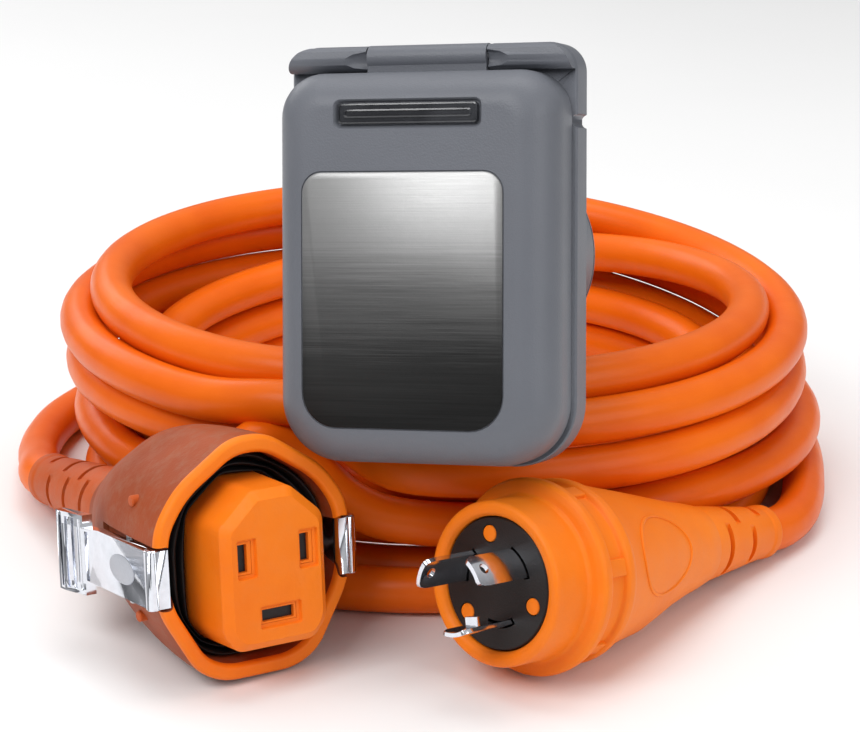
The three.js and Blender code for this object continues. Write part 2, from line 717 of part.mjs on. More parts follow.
// The coil's outer shape, with nests where the connector and the plug lie against it.
function coilGeometry(nests) {
  const profile = [
    [COIL_HOLE_RADIUS, 0],
    [COIL_FOOT_RADIUS, 0],
    [COIL_FOOT_RADIUS, 17.7],
    [COIL_BELLY_RADIUS, 17.7],
    [COIL_BELLY_RADIUS, 56],
    [COIL_SHOULDER_RADIUS, 66],
    [COIL_SHOULDER_RADIUS, 78],
    [COIL_TOP_OUTER, COIL_HEIGHT],
    [COIL_TOP_INNER, COIL_HEIGHT],
    [119, 80],
    [COIL_HOLE_RADIUS, 62],
    [COIL_HOLE_RADIUS, 0],
  ];
  return cut(turned(profile, 64), ...nests);
}

// ---------------------------------------------------------------- the kit

const kit = new THREE.Group();
const scene = new THREE.Group();
kit.add(scene);

const connector = facing(CONNECTOR_FACE, CONNECTOR_YAW, CONNECTOR_TILT, CONNECTOR_ROLL);
buildConnector(connector.inner);
const plug = facing(PLUG_FACE, PLUG_YAW, PLUG_TILT);
buildPlug(plug.inner);
const inlet = facing(INLET_CENTRE, 0, INLET_LEAN);
const inletFace = new THREE.Group();
inletFace.rotation.y = THREE.MathUtils.degToRad(INLET_YAW);
inlet.inner.add(inletFace);
buildInletFlange(inletFace);
buildInletSocket(inletFace);
buildInletRear(inletFace);
buildCover(inletFace);
buildHinge(inletFace);
scene.add(connector.group, plug.group, inlet.group);

// The plug and the connector stand on the floor at z = 0.
for (const { group } of [connector, plug]) {
  group.updateMatrixWorld(true);
  group.position.z -= new THREE.Box3().setFromObject(group, true).min.z;
}
scene.updateMatrixWorld(true);

const inWorld = (group, geometry) => geometry.clone().applyMatrix4(group.matrixWorld);
const axisOf = (group) => new THREE.Vector3(0, 0, -1).transformDirection(group.matrixWorld);
const onAxis = (group, depth) => new THREE.Vector3(0, 0, -depth).applyMatrix4(group.matrixWorld);

const grow = 1 + NEST_CLEARANCE / 30;
const connectorNest = join(
  shellBlank(grow, RIM_DEPTH, SHELL_DEPTH, 8),
  box(-48, 48, -17, 17, -84, -RIM_DEPTH),
  turned(reliefProfile(SHELL_DEPTH - 2, CONNECTOR_LENGTH + 3, 17.4, 12), 24),
);
const plugNest = turned(
  reliefProfile(0, PLUG_LENGTH + 2, 38, 12).flatMap(([radius, z], index) =>
    index === 2 ? [[13.6, -150], [18, -112], [26, -74], [34, -45]] : [[radius, z]],
  ),
  24,
);
const coil = coilGeometry([inWorld(connector.inner, connectorNest), inWorld(plug.inner, plugNest)]);
piece(scene, "cord_coil", coil, orangeCable());
const ends = [
  ["cord_connector_lead", connector.inner, CONNECTOR_LENGTH, connectorLeadTurns],
  ["cord_plug_lead", plug.inner, PLUG_LENGTH, plugLeadTurns],
];
ends.forEach(([name, group, length, turns]) => {
  piece(scene, name, lead(onAxis(group, length), axisOf(group), turns), orangeCable());
});

// The origin lies on the floor, under the middle of the connector and the inlet.
const hard = new THREE.Box3();
for (const { group } of [connector, inlet]) hard.expandByObject(group, true);
const middle = hard.getCenter(new THREE.Vector3());
scene.position.set(-middle.x, -middle.y, -hard.min.z);

export default kit;
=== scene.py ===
"""Looks of a shore power cord set with its wall inlet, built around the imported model. Each piece is
modelled in its own group's millimetres, and then moved into the frame's metres."""

import math

import bmesh
import bpy
import numpy as np
from mathutils import Matrix, Vector, kdtree


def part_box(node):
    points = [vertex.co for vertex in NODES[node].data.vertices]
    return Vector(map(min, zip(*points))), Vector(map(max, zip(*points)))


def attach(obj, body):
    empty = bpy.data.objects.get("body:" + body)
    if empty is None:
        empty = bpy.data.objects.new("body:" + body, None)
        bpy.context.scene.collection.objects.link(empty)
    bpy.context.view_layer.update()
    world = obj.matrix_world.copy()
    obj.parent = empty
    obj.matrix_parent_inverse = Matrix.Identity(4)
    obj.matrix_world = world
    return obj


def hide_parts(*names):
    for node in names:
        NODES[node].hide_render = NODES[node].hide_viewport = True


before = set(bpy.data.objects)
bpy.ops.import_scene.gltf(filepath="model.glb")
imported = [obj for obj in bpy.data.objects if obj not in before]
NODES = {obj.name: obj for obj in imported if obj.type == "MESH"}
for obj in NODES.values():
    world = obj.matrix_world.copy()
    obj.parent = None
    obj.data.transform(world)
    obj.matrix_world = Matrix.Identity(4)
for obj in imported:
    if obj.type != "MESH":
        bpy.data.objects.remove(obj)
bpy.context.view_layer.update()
MM = 0.001
rad = math.radians

# ------------------------------------------------------------------ places


def facing(pieces, at, yaw, tilt, roll=0.0, turn=0.0):
    """Matrix of a group whose own z points at the viewer, given pieces whose middle lies at a local place."""
    aimed = (
        Matrix.Rotation(rad(yaw), 4, "Z")
        @ Matrix.Rotation(rad(90 - tilt), 4, "X")
        @ Matrix.Rotation(rad(roll), 4, "Z")
        @ Matrix.Rotation(rad(turn), 4, "Y")
        @ Matrix.Scale(MM, 4)
    )
    ends = [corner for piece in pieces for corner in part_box(piece)]
    middle = sum(ends, Vector((0, 0, 0))) / len(ends)
    return Matrix.Translation(middle - aimed @ Vector(at)) @ aimed


def turned(matrix, degrees):
    """The group's matrix, turned about its own z axis."""
    return matrix @ Matrix.Rotation(rad(degrees), 4, "Z")


WORD = {1: "right", -1: "left"}
LATCH_PIN_X = 35.8
LATCH_PIN_DEPTH = 40
DISC_MIDDLE = 6.85
HINGE_Y = 69
HINGE_Z = 14.5
LATCH_PINS = [f"connector_latch_pin_{word}" for word in WORD.values()]
CONNECTOR = facing(LATCH_PINS, (0, 0, -LATCH_PIN_DEPTH), 32.8, 8.7, -3.1)
PLUG = facing(["plug_face_disc"], (0, 0, -DISC_MIDDLE), -43.7, 10.2)
INLET = facing(["inlet_hinge_pin"], (0.45, HINGE_Y, HINGE_Z), 0, 16.45, 0, -20)
coil_low, coil_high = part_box("cord_coil")
COIL = Vector(((coil_low.x + coil_high.x) / 2, (coil_low.y + coil_high.y) / 2, 0))
COIL_MM = np.array(COIL) / MM

# ------------------------------------------------------------------ camera, floor and light

camera = bpy.data.objects.new("camera", bpy.data.cameras.new("camera"))
camera.data.lens = 108.62
camera.data.sensor_width = 36
camera.data.clip_start = 0.05
camera.data.clip_end = 20
camera.location = COIL + Vector((0, -1.0193, 0.4069))
camera.rotation_euler = (rad(90 - 19.45), 0, 0)
bpy.context.scene.collection.objects.link(camera)
bpy.context.scene.camera = camera


def area_light(name, at, size, power):
    """A soft light that aims at the middle of the coil's front."""
    data = bpy.data.lights.new(name, "AREA")
    data.shape = "RECTANGLE"
    data.size, data.size_y = size
    data.energy = power
    light = bpy.data.objects.new(name, data)
    light.location = at
    aim = COIL + Vector((0, 0, 0.08)) - Vector(at)
    light.rotation_euler = aim.to_track_quat("-Z", "Y").to_euler()
    bpy.context.scene.collection.objects.link(light)


area_light("key", (-0.75, -1.0, 1.35), (1.1, 0.8), 15)
area_light("fill", (1.25, -0.9, 0.8), (1.0, 1.0), 6.6)
area_light("top", (0.1, 0.25, 1.6), (1.4, 1.0), 12)
area_light("back", (-0.9, 1.3, 0.9), (1.0, 0.7), 5)


def studio_world():
    """Pale all round, and darker towards the horizon, so that bright metal shows its shape."""
    world = bpy.data.worlds.new("studio")
    world.use_nodes = True
    tree = world.node_tree
    split = tree.nodes.new("ShaderNodeSeparateXYZ")
    tree.links.new(tree.nodes.new("ShaderNodeTexCoord").outputs["Generated"], split.inputs[0])
    shade = tree.nodes.new("ShaderNodeValToRGB")
    tree.links.new(split.outputs["Z"], shade.inputs["Fac"])
    shade.color_ramp.elements[0].position = 0.02
    shade.color_ramp.elements[0].color = (0.22, 0.22, 0.23, 1)
    shade.color_ramp.elements[1].position = 0.5
    shade.color_ramp.elements[1].color = (1, 1, 1, 1)
    tree.links.new(shade.outputs["Color"], tree.nodes["Background"].inputs["Color"])
    tree.nodes["Background"].inputs["Strength"].default_value = 0.52
    return world


bpy.context.scene.world = studio_world()
bpy.context.scene.view_settings.view_transform = "Standard"

# ------------------------------------------------------------------ materials


class Paint:
    """A node material, built up from a principled shader."""

    def __init__(self, name, **inputs):
        self.material = bpy.data.materials.new(name)
        self.material.use_nodes = True
        self.tree = self.material.node_tree
        self.shader = self.tree.nodes["Principled BSDF"]
        self.place = self.tree.nodes.new("ShaderNodeTexCoord").outputs["Object"]
        for key, value in inputs.items():
            self.shader.inputs[key.replace("_", " ")].default_value = value

    def node(self, kind, settings=None, **inputs):
        made = self.tree.nodes.new("ShaderNode" + kind)
        for key, value in (settings or {}).items():
            setattr(made, key, value)
        for key, value in inputs.items():
            socket = made.inputs[key.replace("_", " ")]
            if isinstance(value, bpy.types.NodeSocket):
                self.tree.links.new(value, socket)
            else:
                socket.default_value = value
        return made

    def noise(self, scale, detail=3.0, stretch=None, roughness=0.5):
        vector = self.place
        if stretch:
            vector = self.node("Mapping", Vector=self.place, Scale=stretch).outputs["Vector"]
        made = self.node("TexNoise", Vector=vector, Scale=scale, Detail=detail, Roughness=roughness)
        return made.outputs["Fac"]

    def ramp(self, value, stops):
        """Each stop is a place and a colour, or one number for a grey."""
        made = self.node("ValToRGB", Fac=value)
        elements = made.color_ramp.elements
        while len(elements) < len(stops):
            elements.new(0.5)
        for element, (at, colour) in zip(elements, stops):
            element.position = at
            element.color = (*colour, 1) if isinstance(colour, tuple) else (colour,) * 3 + (1,)
        return made.outputs["Color"]

    def math(self, operation, *values):
        made = self.node("Math", {"operation": operation})
        for socket, value in zip(made.inputs, values):
            if isinstance(value, bpy.types.NodeSocket):
                self.tree.links.new(value, socket)
            else:
                socket.default_value = value
        return made.outputs["Value"]

    def gloss(self, grain, spread, roughness):
        """Roughness that a grain spreads about the given value."""
        self.set("Roughness", self.math("MULTIPLY_ADD", grain, spread, roughness - spread / 2))

    def set(self, name, value):
        self.tree.links.new(value, self.shader.inputs[name])

    def bump(self, *layers):
        """Each layer is a height, with its depth in metres."""
        normal = None
        for height, depth in layers:
            made = self.node("Bump", Height=height, Distance=depth, Strength=1.0)
            if normal:
                self.tree.links.new(normal, made.inputs["Normal"])
            normal = made.outputs["Normal"]
        self.set("Normal", normal)


def orange(name, deep, fair, roughness, grain, dust=0.0, dirt=(0.5, 0.3, 0.2)):
    """Moulded orange plastic, with a share of pale dust in its grain."""
    paint = Paint(name, Specular_IOR_Level=0.22, IOR=1.47)
    colour = paint.ramp(paint.noise(22, 4), [(0.3, deep), (0.7, fair)])
    if dust:
        speck = paint.ramp(paint.noise(160, 6, roughness=0.7), [(0.46, 0.0), (0.74, dust)])
        pale = paint.node("Mix", {"data_type": "RGBA"}, Factor=speck)
        paint.tree.links.new(colour, pale.inputs[6])
        pale.inputs[7].default_value = (*dirt, 1)
        colour = pale.outputs[2]
    paint.set("Base Color", colour)
    paint.gloss(paint.noise(60, 5), 0.16, roughness)
    paint.bump((paint.noise(45, 2), 0.0004), (paint.noise(900, 3), grain))
    return paint.material


CABLE = orange("orange_cable", (0.76, 0.115, 0.002), (0.88, 0.16, 0.004), 0.34, 0.00005)
RUBBER = orange("orange_rubber", (0.84, 0.165, 0.005), (0.92, 0.22, 0.01), 0.44, 0.00007, 0.05)
WORN = orange("orange_worn", (0.46, 0.075, 0.012), (0.6, 0.11, 0.02), 0.5, 0.0001, 0.3, (0.4, 0.2, 0.13))
# The shell's darker orange is partly real dust and partly painted shade.
DUSTY_AND_SHADED = orange(
    "orange_dusty_painted_shade", (0.27, 0.048, 0.012), (0.38, 0.072, 0.018), 0.55, 0.00012, 0.45, (0.32, 0.16, 0.1)
)


def grey(name, colour, roughness):
    """Moulded plastic or rubber with a fine pearl grain."""
    paint = Paint(name, Specular_IOR_Level=0.35, IOR=1.48)
    dark = tuple(c * 0.92 for c in colour)
    paint.set("Base Color", paint.ramp(paint.noise(18, 3), [(0.3, dark), (0.7, colour)]))
    paint.gloss(paint.noise(70, 4), 0.12, roughness)
    spark = paint.node("TexVoronoi", Vector=paint.place, Scale=1500).outputs["Distance"]
    paint.bump((spark, 0.00005), (paint.noise(2600, 2), 0.00003))
    return paint.material


GREY = grey("grey_plastic", (0.142, 0.15, 0.172), 0.4)
BLACK = grey("black_plastic", (0.012, 0.01, 0.01), 0.42)
SEAL = grey("black_rubber", (0.008, 0.008, 0.009), 0.5)


def metal(name, colour, roughness, scale):
    """Metal with fine wear, in lines of the scale."""
    paint = Paint(name, Metallic=1.0)
    line = paint.noise(scale, 4, roughness=0.65)
    dark = tuple(c * 0.86 for c in colour)
    paint.set("Base Color", paint.ramp(line, [(0.3, dark), (0.7, colour)]))
    paint.gloss(line, 0.12, roughness)
    paint.bump((line, 0.00002), (paint.noise(220, 3), 0.00005))
    return paint.material


CHROME = metal("chrome", (0.8, 0.82, 0.88), 0.12, 300)
SATIN = metal("satin_chrome", (0.5, 0.52, 0.57), 0.34, 1400)
STEEL = metal("steel", (0.6, 0.61, 0.63), 0.3, 900)
BRASS = metal("brass", (0.78, 0.55, 0.22), 0.26, 900)


def label_metal_painted_reflection():
    """Brushed plate with a painted reflection: its colour runs from silver at its top to charcoal at its
    bottom, in its own millimetres.
    """
    paint = Paint("brushed_label_painted_reflection", Metallic=0.75, Specular_IOR_Level=0.3)
    split = paint.node("SeparateXYZ", Vector=paint.place)
    height = paint.node("MapRange", Value=split.outputs["Y"], From_Min=-58.6, From_Max=29.0)
    brush = paint.noise(1, 5, stretch=(0.035, 3.2, 3.2), roughness=0.75)
    streak = paint.noise(1, 3, stretch=(0.012, 0.9, 0.9), roughness=0.6)
    brushed = paint.math("MULTIPLY_ADD", brush, 0.2, height.outputs["Result"])
    shade = paint.math("MULTIPLY_ADD", streak, 0.16, brushed)
    # painted reflection: charcoal at the plate's bottom, silver at its top
    stops = [(0.16, 0.009), (0.45, 0.036), (0.72, 0.15), (0.9, 0.29), (1.16, 0.34)]
    most = stops[-1][0]
    stops = [(at / most, tone) for at, tone in stops]
    paint.set("Base Color", paint.ramp(paint.math("DIVIDE", shade, most), stops))
    paint.set("Roughness", paint.ramp(brush, [(0.25, 0.3), (0.75, 0.46)]))
    paint.bump((brush, 0.00003))
    return paint.material


LABEL = label_metal_painted_reflection()


def clear_plastic():
    """Clear plastic with faint scratches, whose dark tint is painted shade of the hollow behind it."""
    paint = Paint("clear_plastic", Transmission_Weight=0.35, IOR=1.49, Coat_Weight=0.5, Coat_Roughness=0.05)
    # The lens's dark colour is painted shade.
    painted_shade_tint = paint.ramp(paint.noise(90, 3), [(0.35, (0.02, 0.022, 0.028)), (0.7, (0.05, 0.053, 0.062))])
    paint.set("Base Color", painted_shade_tint)
    paint.set("Roughness", paint.ramp(paint.noise(200, 4), [(0.3, 0.05), (0.75, 0.13)]))
    paint.bump((paint.noise(60, 2), 0.00002))
    return paint.material


CLEAR = clear_plastic()


def red_strip():
    paint = Paint("red_strip", Specular_IOR_Level=0.3)
    tone = paint.noise(300, 3)
    paint.set("Base Color", paint.ramp(tone, [(0.35, (0.07, 0.008, 0.006)), (0.65, (0.2, 0.025, 0.015))]))
    paint.set("Roughness", paint.ramp(tone, [(0.3, 0.25), (0.7, 0.4)]))
    return paint.material


def floor_paint():
    paint = Paint("pale_floor", Roughness=0.7)
    cloud = paint.noise(3, 3)
    paint.set("Base Color", paint.ramp(cloud, [(0.3, (0.87, 0.87, 0.87)), (0.7, (0.89, 0.89, 0.89))]))
    return paint.material


FLOOR_HALF = 4.0
FLOOR_DROP = 0.0004
floor_mesh = bpy.data.meshes.new("floor")
floor_corners = [(x * FLOOR_HALF, y * FLOOR_HALF, 0) for x, y in ((-1, -1), (1, -1), (1, 1), (-1, 1))]
floor_mesh.from_pydata(floor_corners, [], [(0, 1, 2, 3)])
floor_mesh.materials.append(floor_paint())
floor = bpy.data.objects.new("floor", floor_mesh)
floor.location.z = -FLOOR_DROP
bpy.context.scene.collection.objects.link(floor)

# ------------------------------------------------------------------ mesh helpers


def add(name, verts, faces, material, matrix, sharp=32):
    """A new mesh with its faces pointing out, smooth but for edges sharper than the angle."""
    mesh = bpy.data.meshes.new(name)
    mesh.from_pydata([tuple(v) for v in verts], [], faces)
    mesh.validate()
    shape = bmesh.new()
    shape.from_mesh(mesh)
    bmesh.ops.recalc_face_normals(shape, faces=shape.faces)
    shape.to_mesh(mesh)
    shape.free()
    made = bpy.data.objects.new(name, mesh)
    bpy.context.scene.collection.objects.link(made)
    made.matrix_world = matrix
    if material:
        mesh.materials.append(material)
    smooth(made, sharp)
    return made


def smooth(thing, sharp=32):
    mesh = thing.data
    mesh.polygons.foreach_set("use_smooth", [True] * len(mesh.polygons))
    mesh.set_sharp_from_angle(angle=rad(sharp))
    mesh.update()


def baked(thing, sharp=32):
    """Applies the object's modifiers to its mesh."""
    bpy.context.view_layer.update()
    seen = thing.evaluated_get(bpy.context.evaluated_depsgraph_get())
    mesh = bpy.data.meshes.new_from_object(seen)
    mesh.name = thing.name
    thing.modifiers.clear()
    thing.data = mesh
    if sharp:
        smooth(thing, sharp)
    return thing


def bevelled(thing, width, segments=2, angle=34, sharp=40):
    """Rounds the edges that are sharper than the angle."""
    bevel = thing.modifiers.new("bevel", "BEVEL")
    bevel.width = width
    bevel.segments = segments
    bevel.limit_method = "ANGLE"
    bevel.angle_limit = rad(angle)
    bevel.use_clamp_overlap = True
    return weighted(baked(thing, sharp))


def weighted(thing):
    """Lets the large faces set the normals along their edges."""
    weights = thing.modifiers.new("weights", "WEIGHTED_NORMAL")
    weights.keep_sharp = True
    return baked(thing, None)


def carved(thing, *cutters, operation="DIFFERENCE"):
    """Cuts or joins the cutters, which are used up."""
    for cutter in cutters:
        change = thing.modifiers.new("cut", "BOOLEAN")
        change.operation = operation
        change.solver = "EXACT"
        change.object = cutter
        baked(thing)
        bpy.data.objects.remove(cutter)
    return thing


def loft(name, rings, material, matrix, caps=(True, True), closed=False, sharp=32):
    """Joins rings with equal point counts. closed joins the last ring to the first."""
    count = len(rings[0])
    verts = [p for ring in rings for p in ring]
    faces = []
    pairs = list(zip(range(len(rings) - 1), range(1, len(rings))))
    if closed:
        pairs.append((len(rings) - 1, 0))
    for a, b in pairs:
        for i in range(count):
            j = (i + 1) % count
            faces.append((a * count + i, a * count + j, b * count + j, b * count + i))
    if caps[0] and not closed:
        faces.append(tuple(reversed(range(count))))
    if caps[1] and not closed:
        faces.append(tuple(range((len(rings) - 1) * count, len(rings) * count)))
    return add(name, verts, faces, material, matrix, sharp)


def all_round(count):
    """Angles spread over a whole turn."""
    return np.linspace(0, 2 * math.pi, count, endpoint=False)


def lathe(name, profile, material, matrix, sides=96):
    """Turns a profile of (radius, z) pairs, from the back to the front, round the local z axis."""
    rings = []
    for radius, z in profile:
        rings.append([(radius * math.cos(a), radius * math.sin(a), z) for a in all_round(sides)])
    closed = profile[0] == profile[-1]
    if closed:
        rings.pop()
    return loft(name, rings, material, matrix, closed=closed)


def drill(radius, z0, z1, matrix, sides=32):
    """A round cutter along the local z axis."""
    return lathe("cutter", [(0.05, z0), (radius, z0), (radius, z1), (0.05, z1)], None, matrix, sides)


def placed(thing, x, y, z, degrees=0, axis="Z"):
    """Turns and then moves the mesh, in its group's millimetres."""
    thing.data.transform(Matrix.Translation((x, y, z)) @ Matrix.Rotation(rad(degrees), 4, axis))
    return thing


def softened(profile, radius=0.6, steps=3):
    """Rounds the corners of an open profile of points."""
    points = [np.array(p, float) for p in profile]
    out = [points[0]]
    for before, here, after in zip(points, points[1:], points[2:]):
        back, ahead = before - here, after - here
        reach_in = min(radius, np.linalg.norm(back) * 0.45, np.linalg.norm(ahead) * 0.45)
        start = here + back / np.linalg.norm(back) * reach_in
        end = here + ahead / np.linalg.norm(ahead) * reach_in
        for i in range(steps + 1):
            t = i / steps
            out.append((1 - t) ** 2 * start + 2 * t * (1 - t) * here + t * t * end)
    out.append(points[-1])
    return [tuple(p) for p in out]


def corners(points, segments=6):
    """Closed outline through points (x, y, reach), each an arc that takes up reach of its edges."""
    out = []
    count = len(points)
    for i, (x, y, reach) in enumerate(points):
        here = np.array([x, y], float)
        back = np.array(points[i - 1][:2], float) - here
        ahead = np.array(points[(i + 1) % count][:2], float) - here
        unit_back, unit_ahead = back / np.linalg.norm(back), ahead / np.linalg.norm(ahead)
        half = math.acos(np.clip(unit_back @ unit_ahead, -1, 1)) / 2
        run = min(reach, 0.48 * np.linalg.norm(back), 0.48 * np.linalg.norm(ahead))
        radius = run * math.tan(half)
        between = (unit_back + unit_ahead) / np.linalg.norm(unit_back + unit_ahead)
        centre = here + between * radius / math.sin(half)
        start = here + unit_back * run - centre
        end = here + unit_ahead * run - centre
        first, last = math.atan2(start[1], start[0]), math.atan2(end[1], end[0])
        sweep = (last - first + math.pi) % (2 * math.pi) - math.pi
        for k in range(segments + 1):
            angle = first + sweep * k / segments
            out.append(centre + radius * np.array([math.cos(angle), math.sin(angle)]))
    return np.array(out)


def shrunk(sides, inset):
    """A rectangle's x0, x1, y0 and y1, moved in by the inset."""
    x0, x1, y0, y1 = sides
    return x0 + inset, x1 - inset, y0 + inset, y1 - inset


def rectangle(x0, x1, y0, y1, low_radius, high_radius=None, segments=8):
    """Outline with one radius at its two lower corners, and the other at the upper ones."""
    top = low_radius if high_radius is None else high_radius
    return corners([(x0, y0, low_radius), (x1, y0, low_radius), (x1, y1, top), (x0, y1, top)], segments)


def run_along(points):
    """The distance of each point from the first, along the line."""
    return np.concatenate([[0], np.cumsum(np.linalg.norm(np.diff(points, axis=0), axis=1))])


def resampled(outline, count):
    """The closed outline with evenly spread points."""
    closed = np.vstack([outline, outline[:1]])
    run = run_along(closed)
    at = np.linspace(0, run[-1], count, endpoint=False)
    return np.stack([np.interp(at, run, closed[:, k]) for k in (0, 1)], axis=1)


def level(outline, z):
    """The outline as a ring at one height."""
    return [(x, y, z) for x, y in outline]


def prism(name, outline, z0, z1, material, matrix):
    return loft(name, [level(outline, z0), level(outline, z1)], material, matrix)


def block(x0, x1, y0, y1, z0, z1, matrix):
    """A box to cut or join with."""
    return prism("cutter", [(x0, y0), (x1, y0), (x1, y1), (x0, y1)], z0, z1, None, matrix)


def slab(name, outline, half, material, matrix):
    """An outline in the x, z plane, given half its height either side of y = 0."""
    return loft(name, [[(x, y, z) for x, z in outline] for y in (half, -half)], material, matrix)


def joined(name, parts):
    """One object from several that share a matrix."""
    verts, faces, offset = [], [], 0
    for part in parts:
        verts += [tuple(v.co) for v in part.data.vertices]
        faces += [tuple(i + offset for i in p.vertices) for p in part.data.polygons]
        offset += len(part.data.vertices)
    made = add(name, verts, faces, parts[0].data.materials[0], parts[0].matrix_world.copy())
    for part in parts:
        bpy.data.objects.remove(part)
    return made


def settled(thing):
    """Moves the mesh itself into the frame's metres, so that the object needs no matrix."""
    thing.data.transform(thing.matrix_world)
    thing.matrix_world = Matrix()
    return thing


def fitted(thing, body, slot, *nodes):
    """Rides on the body and stands for the CAD nodes, which it hides; the slot is not used."""
    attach(thing, body)
    if nodes:
        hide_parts(*nodes)
    return thing


def painted(material, *names):
    """Gives CAD nodes that stay as they are a material."""
    for name in names:
        mesh = NODES[name].data
        mesh.materials.clear()
        mesh.materials.append(material)
        smooth(NODES[name], 38)


# ------------------------------------------------------------------ cable

CABLE_RADIUS = 8.5
CONNECTOR_END = 188
PLUG_END = 158
# The leads' points, from each strain relief to the coil's lowest turn, from the coil's centre.
CONNECTOR_LEAD = [
    (-161.2, -21, 11.6), (-164, -6, 9.7), (-164.8, 9, 8.8), (-163.6, 24, 8.6), (-160.6, 39, 8.6),
]
PLUG_LEAD = [(141.4, -75.4, 8.9), (147, -62, 8.6), (150.6, -47, 8.6), (153, -31, 8.6), (154.8, -14, 8.6)]
# Radius and height at the back, right, front and left of each turn, in the order they were wound.
TURNS = [
    [(147, 8.6), (137, 8.6), (143, 8.6), (137, 8.6)],  # the outer turn on the floor
    [(124, 8.8), (119, 9), (122, 9), (118, 12)],  # an inner one beside it
    [(119, 24), (118, 27), (119, 26), (117, 30)],  # then up the inside
    [(117, 40), (117, 45), (108, 42), (115, 50)],
    [(116, 60), (131, 77), (128, 81), (131, 85)],  # over the top
    [(131, 82), (146, 69), (138, 70), (143, 71)],  # and down the outside
    [(141, 65), (146, 53), (145, 55), (143, 57)],
    [(137, 49), (137, 39), (126, 40), (131, 42)],
    [(137, 33), (156, 26), (136, 25.5), (146, 27)],
    [(148, 15)],
]


def spline(stations, at):
    """Smooth cubic values at each parameter, through rows of (parameter, value, ...)."""
    stations = np.array(stations, float)
    knots, values = stations[:, 0], stations[:, 1:]
    slopes = np.gradient(values, knots, axis=0)
    index = np.clip(np.searchsorted(knots, at, side="right") - 1, 0, len(knots) - 2)
    span = (knots[index + 1] - knots[index])[:, None]
    t = (at - knots[index])[:, None] / span
    return (
        (2 * t**3 - 3 * t**2 + 1) * values[index]
        + (t**3 - 2 * t**2 + t) * span * slopes[index]
        + (3 * t**2 - 2 * t**3) * values[index + 1]
        + (t**3 - t**2) * span * slopes[index + 1]
    )


def evenly(points, step):
    """The line's points, spread a step apart."""
    run = run_along(points)
    at = np.linspace(0, run[-1], int(round(run[-1] / step)) + 1)
    return np.stack([np.interp(at, run, points[:, k]) for k in range(3)], axis=1)


def behind(matrix, depth):
    """A point on the group's axis, in millimetres from the coil's centre."""
    return np.array(matrix @ Vector((0, 0, -depth))) / MM - COIL_MM


def coiled_turns():
    """The coil's line, with its stations a quarter turn apart."""
    stations = [(quarter, *place) for quarter, place in enumerate(p for turn in TURNS for p in turn)]
    x, y, z = CONNECTOR_LEAD[-1]
    first = (90 - math.degrees(math.atan2(y, x))) / 90
    stations.insert(0, (first, math.hypot(x, y), z))
    stations.append((len(stations) - 1, 155.9, 8.6))
    at = np.arange(first, stations[-1][0], 1 / 16)
    radius, height = spline(stations, at).T
    angle = np.radians(90 - 90 * at)
    return np.stack([radius * np.cos(angle), radius * np.sin(angle), height], axis=1)


def wanted_route():
    """The cable's line before its turns are pushed apart, in millimetres from the coil's centre."""
    start = [behind(CONNECTOR, CONNECTOR_END + ahead) for ahead in (0.4, 9)]
    finish = [behind(PLUG, PLUG_END + ahead) for ahead in (9, 0.4)]
    line = np.array([*start, *CONNECTOR_LEAD[:-1], *coiled_turns(), *reversed(PLUG_LEAD), *finish])
    run = run_along(line)
    dense = spline(np.column_stack([run, line]), np.arange(0, run[-1], 3.0))
    return evenly(np.vstack([dense, line[-1:]]), 9.0)


def surface_points(names, step=3.5):
    """Points spread over the CAD nodes' faces, in millimetres from the coil's centre."""
    out = []
    for name in names:
        mesh = NODES[name].data
        mesh.calc_loop_triangles()
        co = np.array([v.co for v in mesh.vertices], float) / MM - COIL_MM
        for triangle in mesh.loop_triangles:
            a, b, c = co[list(triangle.vertices)]
            longest = max(np.linalg.norm(b - a), np.linalg.norm(c - a), np.linalg.norm(c - b))
            rows = max(1, int(math.ceil(longest / step)))
            for i in range(rows + 1):
                for j in range(rows + 1 - i):
                    out.append(a + (b - a) * i / rows + (c - a) * j / rows)
    return np.array(out)


def swung_latch(side, degrees):
    """Surface points of a latch that is turned about its pin."""
    pin = np.array(CONNECTOR @ Vector((side * LATCH_PIN_X, 0, -LATCH_PIN_DEPTH)) - COIL) / MM
    axis = (CONNECTOR.to_3x3() @ Vector((0, side, 0))).normalized()
    spin = np.array(Matrix.Rotation(rad(degrees), 3, axis))
    return (surface_points([f"connector_latch_{WORD[side]}"]) - pin) @ spin.T + pin


def blurred(field, times):
    """Averages the rows with their neighbours, in place."""
    for _ in range(times):
        field[1:-1] = 0.25 * field[:-2] + 0.5 * field[1:-1] + 0.25 * field[2:]
    return field


def push_from_turns(here, along, apart):
    """What each point needs, as half of a pair, to stand clear of the turns beside it."""
    spacing = 2 * CABLE_RADIUS + 0.25
    gap = here[:, None, :] - here[None, :, :]
    ahead = np.einsum("ijk,ik->ij", gap, along)
    across = gap - ahead[:, :, None] * along[:, None, :]
    width = np.linalg.norm(across, axis=2)
    near = apart & (np.abs(ahead) < 5.2) & (width < spacing)
    size = np.where(near, (spacing - width) / np.maximum(width, 1e-6), 0)
    return 0.5 * np.einsum("ij,ijk->ik", size, across) / np.maximum(near.sum(axis=1), 1)[:, None]


def push_from_solids(here, along, tree):
    """What each point needs, square to the cable, to stand clear of the nearest solid."""
    room = CABLE_RADIUS + 0.9
    push = np.zeros_like(here)
    for i, point in enumerate(here):
        found, _, distance = tree.find(point)
        if distance < room:
            away = point - np.array(found)
            away -= (away @ along[i]) * along[i]
            push[i] = away / max(np.linalg.norm(away), 1e-6) * (room - distance)
    return push


